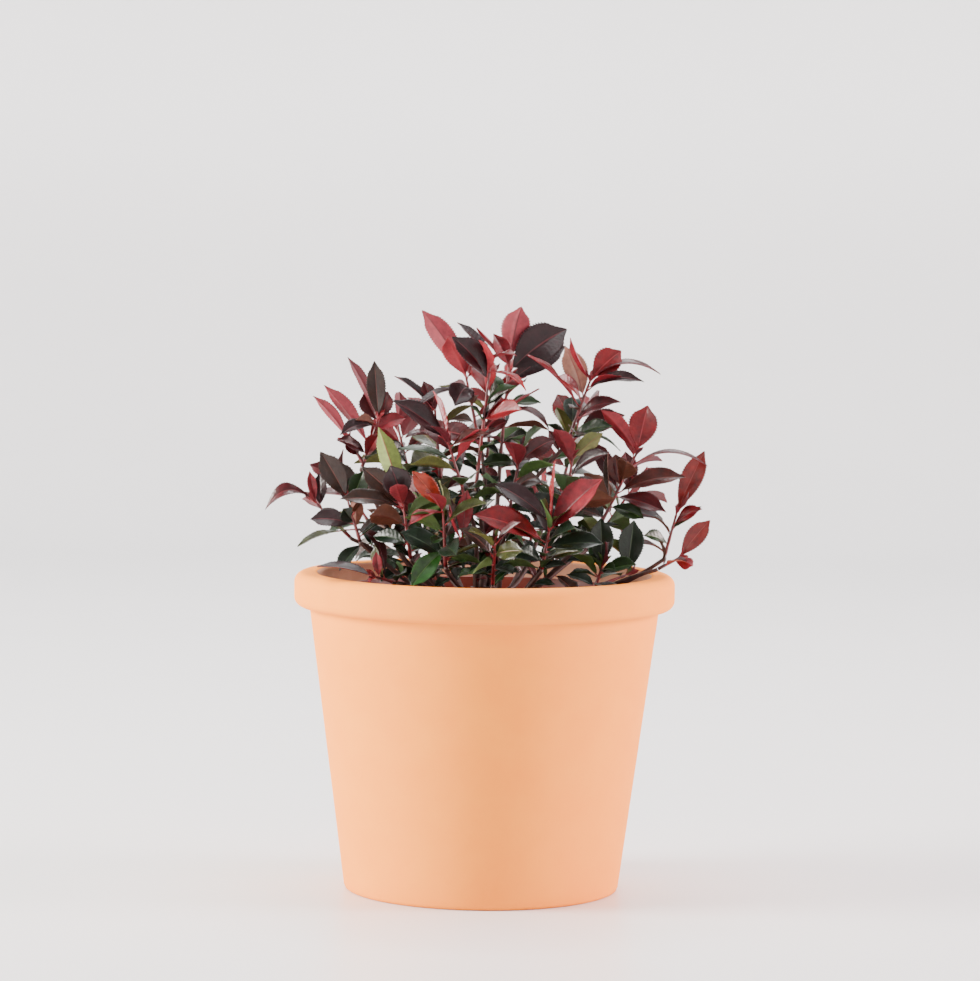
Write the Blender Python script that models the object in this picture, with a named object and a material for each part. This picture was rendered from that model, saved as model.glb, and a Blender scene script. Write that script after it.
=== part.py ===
"""A dwarf red-leaved photinia in a round clay pot, as separate closed solids.

The clay pot holds a thin inner grow pot filled with compost.  A short stem stands on the compost,
boughs fan out from it, and each bough carries one leafy shoot.  Sizes in the tables are millimetres;
the meshes are in metres, +Z up, with the origin at the centre of the pot's flat underside.
"""
import math
import random
from dataclasses import dataclass

import bmesh
import bpy
from mathutils import Vector
from mathutils.bvhtree import BVHTree

MM = 0.001
GAP = 0.3
UP = Vector((0, 0, 1))

POT_HEIGHT = 200.0
POT_FOOT_RADIUS = 86.6
POT_NECK_RADIUS = 110.2
POT_NECK_HEIGHT = 178.5
BEAD_RADIUS = 120.0
BEAD_TOP_ROUND = 6.5
BEAD_LOW_ROUND = 6.0
POT_WALL = 8.5
POT_FLOOR = 11.0
POT_SIDES = 44

GROW_RIM_RADIUS = 95.5
GROW_LIP = 2.2
GROW_WALL = 1.6
GROW_BASE_RADIUS = 71.0
GROW_TOP = 189.5
COMPOST_TOP = 172.0
GROW_SIDES = 28

STEM_TOP = 191.0
STEM_FOOT_RADIUS = 15.0
STEM_RADIUS = 9.0
STEM_SIDES = 16
CROWN_RING = 5.6
BOUGH_ROOT_RADIUS = 2.1
BOUGH_TIP_RADIUS = 1.35
BOUGH_SIDES = 5
BOUGH_LEAD = 1.5
ROOT_SPREAD = 0.8
SPREAD_PASSES = 60
BEND_TRIALS = (0.0, 4.0, -4.0, 8.0, -8.0, 12.0, -12.0, 16.0, -16.0, 22.0, -22.0, 28.0, -28.0)
TIER_HEIGHTS = (176.4, 181.2, 186.0)

TWIG_ROOT_RADIUS = 1.25
TWIG_TIP_RADIUS = 0.75
LEAF_THICKNESS = 0.75
LEAF_FOLD = math.radians(18)
LEAF_STATIONS = ((0.30, 0.74), (0.66, 0.92))
GOLDEN_ANGLE = math.radians(137.508)

FACING = {
    "up": Vector((0, 0, 1)),
    "front": Vector((0, -1, 0.25)),
    "front_up": Vector((0, -0.75, 0.75)),
    "back": Vector((0, 1, 0.25)),
    "back_up": Vector((0, 0.7, 0.7)),
    "left": Vector((-1, -0.35, 0.2)),
    "right": Vector((1, -0.35, 0.2)),
}


@dataclass(frozen=True)
class Leaf:
    """A leaf placed by hand: where it leaves its twig, its reach, width, facing and arch.

    A place above 1.0 is on the shoot's side twig, at the rest past 1.0 of that twig's length.
    """

    at: float
    reach: tuple
    width: float
    facing: str
    arch: float


@dataclass(frozen=True)
class Shoot:
    """One leafy mass: its main twig from foot to tip, an optional side twig and its leaves."""

    name: str
    foot: tuple
    tip: tuple
    extra: int
    leaf_length: float
    leaves: tuple = ()
    twig: tuple = ()


SHOOTS = (
    Shoot("top", (-6, -15, 257), (2, -20, 335), 5, 30, (
        Leaf(0.82, (-23, -6, 28), 17, "front_up", 3), Leaf(0.97, (-21, 8, 25), 11, "up", 2),
        Leaf(1.0, (16, -8, 3), 9, "up", 2), Leaf(0.95, (-7, -4, 16), 7, "right", 1),
        Leaf(0.5, (7, 12, 28), 8, "right", 0), Leaf(0.5, (16, -8, 21), 9, "left", 2),
        Leaf(0.42, (35, -18, 28), 7, "up", 2), Leaf(0.9, (23, -12, -11), 7, "up", 4))),
    Shoot("top_left", (-5, 5, 284), (-14, 2, 326), 5, 28, (
        Leaf(0.97, (-28, 6, 40), 15, "back", 2), Leaf(0.9, (-12, -12, 27), 17, "back", 2),
        Leaf(0.75, (-32, -15, -11), 9, "up", 4), Leaf(0.8, (-8, -20, -12), 17, "front", 3))),
    Shoot("upper_left", (-29, 20, 258), (-33, 15, 303), 7, 28, (
        Leaf(0.95, (-26, 0, 22), 12, "up", 2), Leaf(0.9, (-8, 6, 21), 10, "front", 1),
        Leaf(0.6, (-20, -6, -1), 12, "up", 2))),
    Shoot("top_centre", (9, 20, 273), (14, 22, 335), 6, 28, (
        Leaf(0.98, (7, -4, 34), 18, "back", 2), Leaf(0.85, (37, 6, 28), 25, "front", 3),
        Leaf(0.95, (-21, -5, 22), 8, "left", 1), Leaf(0.75, (37, 16, 23), 14, "front", 1),
        Leaf(0.45, (28, -12, -10), 9, "up", 6))),
    Shoot("upper_right", (51, 5, 283), (65, 0, 323), 4, 24, (
        Leaf(0.55, (-34, -16, 33), 14, "up", 3), Leaf(0.97, (-13, -3, 27), 9, "left", 1),
        Leaf(1.0, (19, 4, 18), 17, "front", 1), Leaf(0.97, (44, -5, 5), 10, "up", 9),
        Leaf(0.8, (36, -14, 7), 9, "front_up", 6), Leaf(0.35, (28, -10, 12), 11, "front_up", 4),
        Leaf(0.7, (-12, 8, 32), 15, "back", 2), Leaf(0.05, (27, -14, 9), 12, "front_up", 2),
        Leaf(0.1, (32, -6, -9), 4, "up", 5))),
    Shoot("right", (71, -5, 229), (95, -5, 278), 6, 24, (
        Leaf(1.0, (6, 2, 29), 18, "front", 1), Leaf(0.98, (-23, -4, 27), 12, "back_up", 2),
        Leaf(0.8, (48, -14, 2), 7, "up", 9), Leaf(0.45, (43, -12, 12), 14, "front_up", 4),
        Leaf(0.42, (32, -8, -9), 14, "front_up", 2), Leaf(0.33, (-3, -8, 32), 9, "left", 1),
        Leaf(0.55, (-3, 4, 20), 15, "front", 0), Leaf(0.5, (-15, 8, 29), 11, "front", 1))),
    Shoot("far_right", (113, -4, 212), (120, -9, 240), 2, 20, (
        Leaf(1.0, (17, 3, 39), 14, "front", 1), Leaf(0.98, (7, -6, 14), 7, "right", 1),
        Leaf(0.62, (18, -4, 15), 8, "front_up", 1), Leaf(0.5, (-13, -6, 12), 8, "up", 2),
        Leaf(0.08, (-23, -8, 4), 9, "up", 4))),
    Shoot("far_right_low", (108, -26, 206), (121, -27, 213), 2, 18, (
        Leaf(1.0, (19, 0, 24), 12, "front", 1), Leaf(0.3, (13, -16, 4), 8, "up", 2))),
    Shoot("low_right", (68, -40, 194), (73, -42, 209), 7, 24, (
        Leaf(0.9, (-1, 2, 31), 15, "front", 0), Leaf(0.5, (-18, -6, 3), 8, "up", 2),
        Leaf(0.7, (-8, -4, 11), 10, "up", 3), Leaf(0.7, (9, -12, 3), 9, "front_up", 2),
        Leaf(2.0, (4, 2, 34), 16, "front", 0)), (0.1, (20, 10, 7))),
    Shoot("front_centre", (35, -60, 208), (40, -62, 237), 8, 28, (
        Leaf(0.8, (32, -6, 33), 20, "front_up", 2), Leaf(1.0, (2, -4, 38), 6, "left", 0),
        Leaf(0.55, (-45, -14, 18), 20, "front_up", 3), Leaf(1.0, (-34, 6, 23), 14, "front_up", 2),
        Leaf(0.45, (35, -12, 4), 15, "front_up", 2), Leaf(0.15, (22, -16, 8), 10, "front_up", 2))),
    Shoot("front_left", (-24, -62, 209), (-26, -70, 245), 8, 28, (
        Leaf(1.0, (-19, -4, 23), 12, "front", 1), Leaf(0.95, (-20, -12, -7), 12, "up", 2),
        Leaf(2.0, (3, -2, 30), 10, "front", 0), Leaf(1.9, (-7, -4, 22), 7, "left", 0),
        Leaf(0.12, (30, -12, 11), 9, "up", 2), Leaf(0.3, (-20, -14, -22), 13, "front", 2),
        Leaf(0.15, (-28, 6, 15), 16, "front_up", 2)), (0.15, (10, 1, 12))),
    Shoot("centre_left", (-10, -38, 241), (-24, -45, 286), 8, 28, (
        Leaf(1.0, (-9, -3, 30), 9, "right", 1), Leaf(0.98, (-34, -8, 25), 16, "front_up", 2),
        Leaf(0.9, (23, -6, 9), 10, "front_up", 2), Leaf(0.7, (-35, 4, 7), 13, "up", 2))),
    Shoot("left_top", (-78, -5, 266), (-68, -5, 296), 2, 22, (
        Leaf(1.0, (-3, -3, 37), 12, "front", 1), Leaf(0.95, (-9, 6, 18), 13, "front", 0),
        Leaf(0.95, (6, 6, 19), 12, "front", 0), Leaf(1.0, (-20, 3, 39), 8, "back_up", 2),
        Leaf(0.45, (-29, -2, 38), 11, "back_up", 2), Leaf(2.0, (-23, -2, 28), 9, "back_up", 2),
        Leaf(0.85, (-22, -14, -5), 10, "front_up", 4), Leaf(0.9, (-13, -8, 3), 8, "back", 1),
        Leaf(0.2, (9, -6, 16), 11, "front", 0), Leaf(1.3, (-8, -4, 12), 9, "front", 0)),
        (0.08, (-9, 0, 14))),
    Shoot("left", (-78, -28, 221), (-86, -30, 247), 4, 24, (
        Leaf(1.0, (-17, -5, 30), 15, "front", 1), Leaf(0.9, (-8, 6, 27), 15, "up", 1),
        Leaf(0.8, (8, 4, 23), 13, "front", 0), Leaf(0.3, (0, -4, 20), 9, "back", 0),
        Leaf(0.45, (-7, -2, 9), 11, "front", 0), Leaf(0.1, (22, -2, 15), 9, "up", 1))),
    Shoot("far_left", (-85, -8, 222), (-107, -12, 244), 2, 20, (
        Leaf(1.0, (-31, -4, -5), 10, "front_up", 11), Leaf(0.98, (-4, -2, 20), 6, "front", 0),
        Leaf(0.85, (13, -10, -10), 10, "front_up", 1), Leaf(0.2, (-28, -10, -10), 9, "up", 2),
        Leaf(0.1, (-9, -4, 5), 12, "up", 1), Leaf(0.85, (-1, 6, 21), 9, "front", 0),
        Leaf(0.2, (27, -18, -26), 9, "up", 12))),
    Shoot("inner_left", (-46, -40, 212), (-51, -48, 247), 8, 27, (
        Leaf(0.9, (-39, -14, 6), 13, "front_up", 3), Leaf(1.0, (-8, -4, 23), 18, "front", 1),
        Leaf(0.95, (-26, 4, 23), 14, "front", 1), Leaf(0.97, (-16, 8, 47), 13, "back", 1))),
    Shoot("rim_left", (-55, -55, 198), (-67, -72, 203), 3, 20, (
        Leaf(1.0, (-36, 8, 5), 13, "up", 2), Leaf(0.8, (-2, 0, 16), 6, "front", 0))),
    Shoot("centre", (12, -20, 225), (22, -25, 281), 14, 31),
    Shoot("centre_right", (46, -28, 222), (54, -30, 277), 13, 31),
    Shoot("low_centre", (5, -72, 199), (6, -86, 226), 12, 27),
    Shoot("low_left", (-34, 6, 204), (-42, 12, 246), 12, 30),
    Shoot("back_high", (0, 46, 262), (4, 56, 322), 13, 32),
    Shoot("back_left_high", (-44, 42, 238), (-58, 52, 292), 12, 32),
    Shoot("back_right_high", (46, 42, 242), (60, 52, 298), 12, 32),
    Shoot("back_left", (-66, 46, 214), (-94, 62, 254), 12, 30),
    Shoot("back_right", (68, 44, 214), (96, 60, 252), 12, 30),
    Shoot("back_low_left", (-26, 66, 208), (-38, 92, 244), 11, 30),
    Shoot("back_low_right", (28, 66, 208), (36, 94, 248), 11, 30),
)


def clear_scene():
    """Remove every object the file opened with."""
    for thing in list(bpy.data.objects):
        bpy.data.objects.remove(thing, do_unlink=True)


def finish(name, colour, roughness):
    """Return a Principled material of one plain colour."""
    material = bpy.data.materials.new(name)
    material.use_nodes = True
    shader = material.node_tree.nodes["Principled BSDF"]
    shader.inputs["Base Color"].default_value = (*colour, 1.0)
    shader.inputs["Roughness"].default_value = roughness
    shader.inputs["Metallic"].default_value = 0.0
    return material


def add_object(name, verts, faces, material, smooth=False):
    """Make one object from millimetre points and faces, with all faces pointing out."""
    mesh = bpy.data.meshes.new(name)
    mesh.from_pydata([Vector(v) * MM for v in verts], [], faces)
    shape = bmesh.new()
    shape.from_mesh(mesh)
    bmesh.ops.recalc_face_normals(shape, faces=shape.faces)
    shape.to_mesh(mesh)
    shape.free()
    mesh.materials.append(material)
    if smooth:
        mesh.shade_smooth()
        mesh.set_sharp_from_angle(angle=math.radians(40))
    thing = bpy.data.objects.new(name, mesh)
    bpy.context.scene.collection.objects.link(thing)
    return thing


def round_corner(centre, radius, start, end, steps):
    """Points of an arc in the (radius, height) plane, angles in degrees."""
    turns = [math.radians(start + (end - start) * k / steps) for k in range(steps + 1)]
    return [(centre[0] + radius * math.cos(a), centre[1] + radius * math.sin(a)) for a in turns]


def turned(name, profile, sides, material):
    """Spin a closed profile that starts and ends on the axis into one solid."""
    shape = bmesh.new()
    points = [shape.verts.new(Vector((r * MM, 0, z * MM))) for r, z in profile]
    edges = [shape.edges.new(pair) for pair in zip(points, points[1:])]
    bmesh.ops.spin(shape, geom=points + edges, cent=(0, 0, 0), axis=(0, 0, 1),
                   angle=math.tau, steps=sides, use_merge=True)
    bmesh.ops.remove_doubles(shape, verts=shape.verts, dist=0.00001)
    bmesh.ops.recalc_face_normals(shape, faces=shape.faces)
    mesh = bpy.data.meshes.new(name)
    shape.to_mesh(mesh)
    shape.free()
    mesh.materials.append(material)
    mesh.shade_smooth()
    mesh.set_sharp_from_angle(angle=math.radians(35))
    thing = bpy.data.objects.new(name, mesh)
    bpy.context.scene.collection.objects.link(thing)
    return thing


def wall_radius(height):
    """Outer radius of the clay pot's straight wall at a height."""
    return POT_FOOT_RADIUS + (POT_NECK_RADIUS - POT_FOOT_RADIUS) * height / POT_NECK_HEIGHT


def build_pot():
    """The clay pot: flat foot, straight tapering wall, rolled bead and a plain hollow inside."""
    top = (BEAD_RADIUS - BEAD_TOP_ROUND, POT_HEIGHT - BEAD_TOP_ROUND)
    low = (BEAD_RADIUS - BEAD_LOW_ROUND, POT_NECK_HEIGHT + BEAD_LOW_ROUND)
    inner_top = wall_radius(POT_HEIGHT) - POT_WALL
    profile = [(0, 0), (POT_FOOT_RADIUS - 2, 0), (POT_FOOT_RADIUS + 0.3, 2.5),
               (POT_NECK_RADIUS, POT_NECK_HEIGHT - 0.6)]
    profile += round_corner(low, BEAD_LOW_ROUND, -80, 0, 3)
    profile += round_corner(top, BEAD_TOP_ROUND, 0, 90, 4)
    profile += round_corner((inner_top + 2.5, POT_HEIGHT - 2.5), 2.5, 90, 180, 2)
    profile += [(wall_radius(POT_FLOOR) - POT_WALL + 1, POT_FLOOR + 3),
                (wall_radius(POT_FLOOR) - POT_WALL - 3, POT_FLOOR), (0, POT_FLOOR)]
    return turned("pot", profile, POT_SIDES, finish("terracotta", (0.80, 0.46, 0.26), 0.85))


def build_grow_pot():
    """The thin inner nursery pot with a rolled lip, standing on the clay pot's floor."""
    base = POT_FLOOR + GAP
    inner = GROW_RIM_RADIUS - GROW_LIP - GROW_WALL
    profile = [(0, base), (GROW_BASE_RADIUS, base), (GROW_RIM_RADIUS - GROW_LIP, GROW_TOP - 6),
               (GROW_RIM_RADIUS, GROW_TOP - 5), (GROW_RIM_RADIUS, GROW_TOP - 0.8),
               (GROW_RIM_RADIUS - 0.8, GROW_TOP), (inner, GROW_TOP), (inner, GROW_TOP - 6),
               (GROW_BASE_RADIUS - GROW_WALL, base + GROW_WALL), (0, base + GROW_WALL)]
    return turned("grow_pot", profile, GROW_SIDES, finish("brown plastic", (0.25, 0.05, 0.03), 0.5))


def build_compost():
    """The compost fills the grow pot to its level and is flat where the stem stands."""
    base = POT_FLOOR + GROW_WALL + 2 * GAP
    foot = GROW_BASE_RADIUS - GROW_WALL - 0.6
    slope = (GROW_RIM_RADIUS - GROW_LIP - GROW_BASE_RADIUS) / (GROW_TOP - 6 - POT_FLOOR - GAP)
    edge = foot + slope * (COMPOST_TOP - 4 - base)
    profile = [(0, base), (foot, base), (edge, COMPOST_TOP - 4), (edge * 0.72, COMPOST_TOP - 1.5),
               (STEM_FOOT_RADIUS + 5, COMPOST_TOP), (0, COMPOST_TOP)]
    return turned("compost", profile, GROW_SIDES, finish("compost", (0.03, 0.02, 0.015), 0.95))


def stem_radius(height):
    """Radius of the short stem: a flare at the compost that eases into an even column."""
    rise = (height - COMPOST_TOP - GAP) / (STEM_TOP - COMPOST_TOP - GAP)
    return STEM_RADIUS + (STEM_FOOT_RADIUS - STEM_RADIUS) * (1 - rise) ** 5


def build_stem(material):
    """The short stem: flat cut on the compost, root flare, flat fork at the top."""
    foot = COMPOST_TOP + GAP
    heights = [foot + (STEM_TOP - foot) * share for share in (0.0, 0.12, 0.3, 0.55, 1.0)]
    profile = [(0, foot)] + [(stem_radius(z), z) for z in heights] + [(0, STEM_TOP)]
    return turned("stem", profile, STEM_SIDES, material)


def bezier(points, share):
    """Point on a cubic curve through four control points."""
    a, b, c, d = points
    rest = 1 - share
    return a * rest ** 3 + b * 3 * rest ** 2 * share + c * 3 * rest * share ** 2 + d * share ** 3


def tube_shape(path, radii, sides):
    """Rings of points round a path, joined by side faces and closed by a flat face at each end."""
    verts = []
    faces = []
    across = (path[1] - path[0]).orthogonal().normalized()
    for k, centre in enumerate(path):
        ahead = path[min(k + 1, len(path) - 1)] - path[max(k - 1, 0)]
        ahead.normalize()
        across = (across - ahead * across.dot(ahead)).normalized()
        beside = ahead.cross(across)
        for s in range(sides):
            turn = math.tau * s / sides
            verts.append(centre + (across * math.cos(turn) + beside * math.sin(turn)) * radii[k])
    for k in range(len(path) - 1):
        for s in range(sides):
            here = k * sides + s
            side = k * sides + (s + 1) % sides
            faces.append((here, side, side + sides, here + sides))
    first = tuple(range(sides))
    last = tuple(range((len(path) - 1) * sides, len(path) * sides))
    return verts, faces + [first[::-1], last]


def spread_turns(turns):
    """Push a ring's sorted directions apart until the roots side by side no longer crowd."""
    turns = list(turns)
    least = ROOT_SPREAD * math.tau / len(turns)
    for _ in range(SPREAD_PASSES):
        for k in range(len(turns)):
            after = (k + 1) % len(turns)
            apart = turns[after] - turns[k] + (math.tau if after == 0 else 0.0)
            push = max(0.0, least - apart) / 2
            turns[k] -= push
            turns[after] += push
    return turns


def bough_roots():
    """Where each bough leaves the stem: crown boughs on top, the rest fanned in three tiers."""
    flat = {shoot.name: Vector((shoot.foot[0], shoot.foot[1], 0)) for shoot in SHOOTS}
    order = sorted(SHOOTS, key=lambda shoot: flat[shoot.name].length * 1.4 - shoot.foot[2])
    roots = {}
    groups = [order[:5]]
    rest = sorted(order[5:], key=lambda shoot: (shoot.foot[2], -flat[shoot.name].length))
    size = math.ceil(len(rest) / len(TIER_HEIGHTS))
    groups += [rest[k * size:(k + 1) * size] for k in range(len(TIER_HEIGHTS))]
    heights = (STEM_TOP,) + TIER_HEIGHTS
    for group, height in zip(groups, heights):
        ring = sorted(group, key=lambda shoot: math.atan2(shoot.foot[1], shoot.foot[0]))
        turns = spread_turns([math.atan2(shoot.foot[1], shoot.foot[0]) for shoot in ring])
        for shoot, place in zip(ring, turns):
            out = Vector((math.cos(place), math.sin(place), 0))
            if height == STEM_TOP:
                roots[shoot.name] = (out * CROWN_RING + UP * (STEM_TOP + GAP), UP.copy())
            else:
                reach = stem_radius(height - BOUGH_ROOT_RADIUS) + GAP + 0.1
                roots[shoot.name] = (out * reach + UP * height, out)
    return roots


def bough_path(shoot, root, leave, bend):
    """Centre line of a bough, from the stem to a gap short of its shoot, bent sideways and up."""
    foot = Vector(shoot.foot)
    along = (Vector(shoot.tip) - foot).normalized()
    end = foot - along * (GAP + 0.05)
    last = end - along * BOUGH_LEAD
    span = last - root
    flat = Vector((span.x, span.y, 0)) / span.length
    reach = span.length * 0.4
    steps = max(4, round(span.length / 16))
    aside = (UP.cross(span).normalized() + UP * 0.3) * bend
    arrive = last - (along + flat * 1.2).normalized() * reach
    points = (root, root + leave * reach + aside, arrive + aside, last)
    curve = [bezier(points, k / steps) for k in range(1, steps + 1)]
    return [root, root + leave * BOUGH_LEAD] + curve + [end]


def leaf_shape(foot, reach, width, facing, arch, swell=0.0):
    """A folded, arched blade of sixteen triangles whose root starts inside its twig."""
    length = reach.length
    along = reach / length
    normal = (facing - along * facing.dot(along)).normalized()
    side = along.cross(normal)
    lift = (normal * 0.6 + (UP - along * along.z) * 0.9).normalized()
    verts = [foot - along * 0.3]
    for share, breadth in LEAF_STATIONS:
        centre = foot + reach * share + lift * (arch * 4 * share * (1 - share))
        half = width * breadth / 2 + swell
        rise = normal * half * math.tan(LEAF_FOLD)
        thick = normal * (LEAF_THICKNESS / 2 + swell)
        verts += [centre - side * half + rise, centre + thick, centre + side * half + rise, centre - thick]
    verts.append(foot + reach + along * swell)
    faces = []
    for k in range(4):
        after = (k + 1) % 4
        faces.append((0, 1 + k, 1 + after))
        faces.append((1 + k, 5 + k, 1 + after))
        faces.append((1 + after, 5 + k, 5 + after))
        faces.append((9, 5 + after, 5 + k))
    return verts, faces


def twig_lines(shoot):
    """The main twig and the side twig of a shoot, each as a start and a reach."""
    foot = Vector(shoot.foot)
    lines = [(foot, Vector(shoot.tip) - foot)]
    if shoot.twig:
        lines.append((foot + lines[0][1] * shoot.twig[0], Vector(shoot.twig[1])))
    return lines


def shoot_leaves(shoot):
    """Every leaf a shoot would carry: the placed ones, then those of the seeded spiral rule."""
    lines = twig_lines(shoot)
    for leaf in shoot.leaves:
        start, reach = lines[1] if leaf.at > 1.0 else lines[0]
        share = leaf.at - 1.0 if leaf.at > 1.0 else leaf.at
        yield start + reach * share, Vector(leaf.reach), leaf.width, FACING[leaf.facing], leaf.arch
    draw = random.Random(shoot.name)
    start, reach = lines[0]
    axis = reach.normalized()
    across = axis.orthogonal().normalized()
    beside = axis.cross(across)
    phase = draw.uniform(0, math.tau)
    for k in range(shoot.extra):
        share = (k + 0.5) / shoot.extra
        turn = phase + k * GOLDEN_ANGLE + draw.uniform(-0.25, 0.25)
        opening = math.radians(98 - 60 * share + draw.uniform(-9, 9))
        length = shoot.leaf_length * (0.82 + 0.3 * math.sin(math.pi * share)) * draw.uniform(0.9, 1.1)
        outward = across * math.cos(turn) + beside * math.sin(turn)
        aim = axis * math.cos(opening) + outward * math.sin(opening)
        width = length * draw.uniform(0.42, 0.52)
        arch = length * draw.uniform(0.04, 0.10)
        facing = axis * 0.8 + across * draw.uniform(-1, 1) + beside * draw.uniform(-1, 1)
        yield start + reach * (0.06 + 0.92 * share), aim * length, width, facing, arch


def tree_of(shape):
    """A search tree over one shape's faces, for the clearance tests."""
    return BVHTree.FromPolygons(shape[0], shape[1])


def join_mass(name, shapes, material):
    """Fuse a shoot's twigs and leaves into one closed body by a Boolean union on a collection."""
    body = add_object(name, *shapes[0], material)
    others = bpy.data.collections.new(name + "_pieces")
    bpy.context.scene.collection.children.link(others)
    for k, shape in enumerate(shapes[1:]):
        piece = add_object(f"{name}_{k}", *shape, material)
        bpy.context.scene.collection.objects.unlink(piece)
        others.objects.link(piece)
    union = body.modifiers.new("join", "BOOLEAN")
    union.operation = "UNION"
    union.operand_type = "COLLECTION"
    union.collection = others
    union.solver = "EXACT"
    joined = bpy.data.meshes.new_from_object(body.evaluated_get(bpy.context.evaluated_depsgraph_get()))
    body.modifiers.clear()
    body.data = joined
    for piece in list(others.objects):
        bpy.data.objects.remove(piece, do_unlink=True)
    bpy.data.collections.remove(others)
    drop_scraps(joined)
    return body


def drop_scraps(mesh):
    """Keep only the largest connected body of a mesh."""
    shape = bmesh.new()
    shape.from_mesh(mesh)
    unseen = set(shape.verts)
    bodies = []
    while unseen:
        group = {unseen.pop()}
        edge = list(group)
        while edge:
            near = {e.other_vert(v) for v in edge for e in v.link_edges} - group
            group |= near
            edge = list(near)
        unseen -= group
        bodies.append(group)
    bodies.sort(key=len)
    scraps = [v for group in bodies[:-1] for v in group]
    bmesh.ops.delete(shape, geom=scraps, context="VERTS")
    shape.to_mesh(mesh)
    shape.free()


def bough_tube(path, swell=0.0):
    """The tapering limb round a bough's centre line."""
    count = len(path) - 1
    taper = BOUGH_TIP_RADIUS - BOUGH_ROOT_RADIUS
    return tube_shape(path, [BOUGH_ROOT_RADIUS + taper * k / count + swell for k in range(count + 1)],
                      BOUGH_SIDES)


def clear_path(shoot, root, leave, trees):
    """The least bent centre line whose limb passes everything that is already there."""
    for bend in BEND_TRIALS:
        path = bough_path(shoot, root, leave, bend)
        guard = tree_of(bough_tube(path[:-1], swell=GAP))
        if not any(guard.overlap(tree) for tree in trees):
            return path
    return bough_path(shoot, root, leave, 0.0)


def build_boughs(bark, pot_trees, twig_trees):
    """Build every bough, each a tapering limb, and return the search trees of all of them."""
    trees = []
    roots = bough_roots()
    for shoot in SHOOTS:
        path = clear_path(shoot, *roots[shoot.name], pot_trees + twig_trees + trees)
        trees.append(tree_of(bough_tube(path)))
        add_object("bough_" + shoot.name, *bough_tube(path), bark, smooth=True)
    return trees


def twig_shapes(shoot):
    """Three-sided twigs of a shoot, the side twig sunk into the main one."""
    shapes = []
    for start, reach in twig_lines(shoot):
        path = [start + reach * share for share in (0.0, 0.5, 1.0)]
        radii = (TWIG_ROOT_RADIUS, (TWIG_ROOT_RADIUS + TWIG_TIP_RADIUS) / 2, TWIG_TIP_RADIUS)
        shapes.append(tube_shape(path, radii, 3))
    return shapes


def build_foliage(twigs, fixed_trees):
    """Grow each shoot in turn; a leaf that would touch a limb or another shoot is skipped."""
    leafage = finish("red and green leaf", (0.16, 0.03, 0.035), 0.4)
    grown = []
    for shoot in SHOOTS:
        others = [tree_of(shape) for name in twigs if name != shoot.name for shape in twigs[name]]
        shapes = list(twigs[shoot.name])
        for leaf in shoot_leaves(shoot):
            guard = tree_of(leaf_shape(*leaf, swell=GAP))
            if not any(guard.overlap(tree) for tree in fixed_trees + others + grown):
                shapes.append(leaf_shape(*leaf))
        grown.extend(tree_of(shape) for shape in shapes[len(twigs[shoot.name]):])
        join_mass("foliage_" + shoot.name, shapes, leafage)


def main():
    """Build the pots, compost, stem, boughs and leafy shoots."""
    clear_scene()
    bark = finish("dark bark", (0.06, 0.02, 0.02), 0.6)
    pot_trees = []
    for thing in (build_pot(), build_grow_pot(), build_compost(), build_stem(bark)):
        points = [v.co / MM for v in thing.data.vertices]
        pot_trees.append(tree_of((points, [tuple(p.vertices) for p in thing.data.polygons])))
    twigs = {shoot.name: twig_shapes(shoot) for shoot in SHOOTS}
    twig_trees = [tree_of(shape) for shapes in twigs.values() for shape in shapes]
    bough_trees = build_boughs(bark, pot_trees, twig_trees)
    build_foliage(twigs, pot_trees + bough_trees)


main()
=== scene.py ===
"""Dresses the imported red-leaved photinia: clay pot, grow pot, compost, bark, twigs, leaves and studio.

The boughs, the twigs and the main leaves are grown again by the rule of the part's source, and a leaf
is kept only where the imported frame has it. The small tip leaves and the dark old leaves in the middle
are finer growth within the same reach.
"""
import logging
import math
import random
from dataclasses import dataclass, field
from enum import Enum, IntEnum
from typing import Callable, Iterator

import bmesh
import bpy
import numpy as np
from mathutils import Euler, Matrix, Vector, noise
from mathutils.bvhtree import BVHTree


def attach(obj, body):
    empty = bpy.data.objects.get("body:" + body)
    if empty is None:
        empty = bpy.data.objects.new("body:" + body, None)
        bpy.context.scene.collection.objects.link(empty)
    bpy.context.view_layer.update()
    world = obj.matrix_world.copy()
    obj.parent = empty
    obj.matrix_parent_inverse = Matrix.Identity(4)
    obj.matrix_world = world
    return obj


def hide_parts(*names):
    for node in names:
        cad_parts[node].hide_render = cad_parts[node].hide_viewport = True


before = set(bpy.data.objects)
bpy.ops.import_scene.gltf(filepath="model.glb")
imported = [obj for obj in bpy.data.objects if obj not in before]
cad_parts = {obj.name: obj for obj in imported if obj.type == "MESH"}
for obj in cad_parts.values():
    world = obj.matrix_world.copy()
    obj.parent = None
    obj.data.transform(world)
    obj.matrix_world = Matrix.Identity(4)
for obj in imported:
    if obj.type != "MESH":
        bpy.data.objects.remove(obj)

MM = 0.001
UP = Vector((0, 0, 1))
GOLDEN_ANGLE = math.radians(137.508)
log = logging.getLogger("photinia")

# Space between neighbouring solids and distance at which a profile's points are joined, in millimetres.
GAP = 0.3
WELD = 0.002

# Sockets of a Mix node that blends colours: its two colours, and its result among the outputs.
MIX_FIRST = 6
MIX_SECOND = 7
MIX_RESULT = 2

# How much a leaf bows towards its own facing, and how much straight up.
BOW_FACING = 0.6
BOW_UP = 0.9


def channels(hex_colour: str) -> list:
    """The red, green and blue of a hex colour, each from 0 to 255."""
    return [int(hex_colour[k:k + 2], 16) for k in (1, 3, 5)]


def linear(hex_colour: str) -> tuple:
    """Turn an sRGB hex colour into linear red, green, blue and alpha."""
    parts = [c / 255 for c in channels(hex_colour)]
    return (*[c / 12.92 if c <= 0.04045 else ((c + 0.055) / 1.055) ** 2.4 for c in parts], 1.0)


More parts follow.
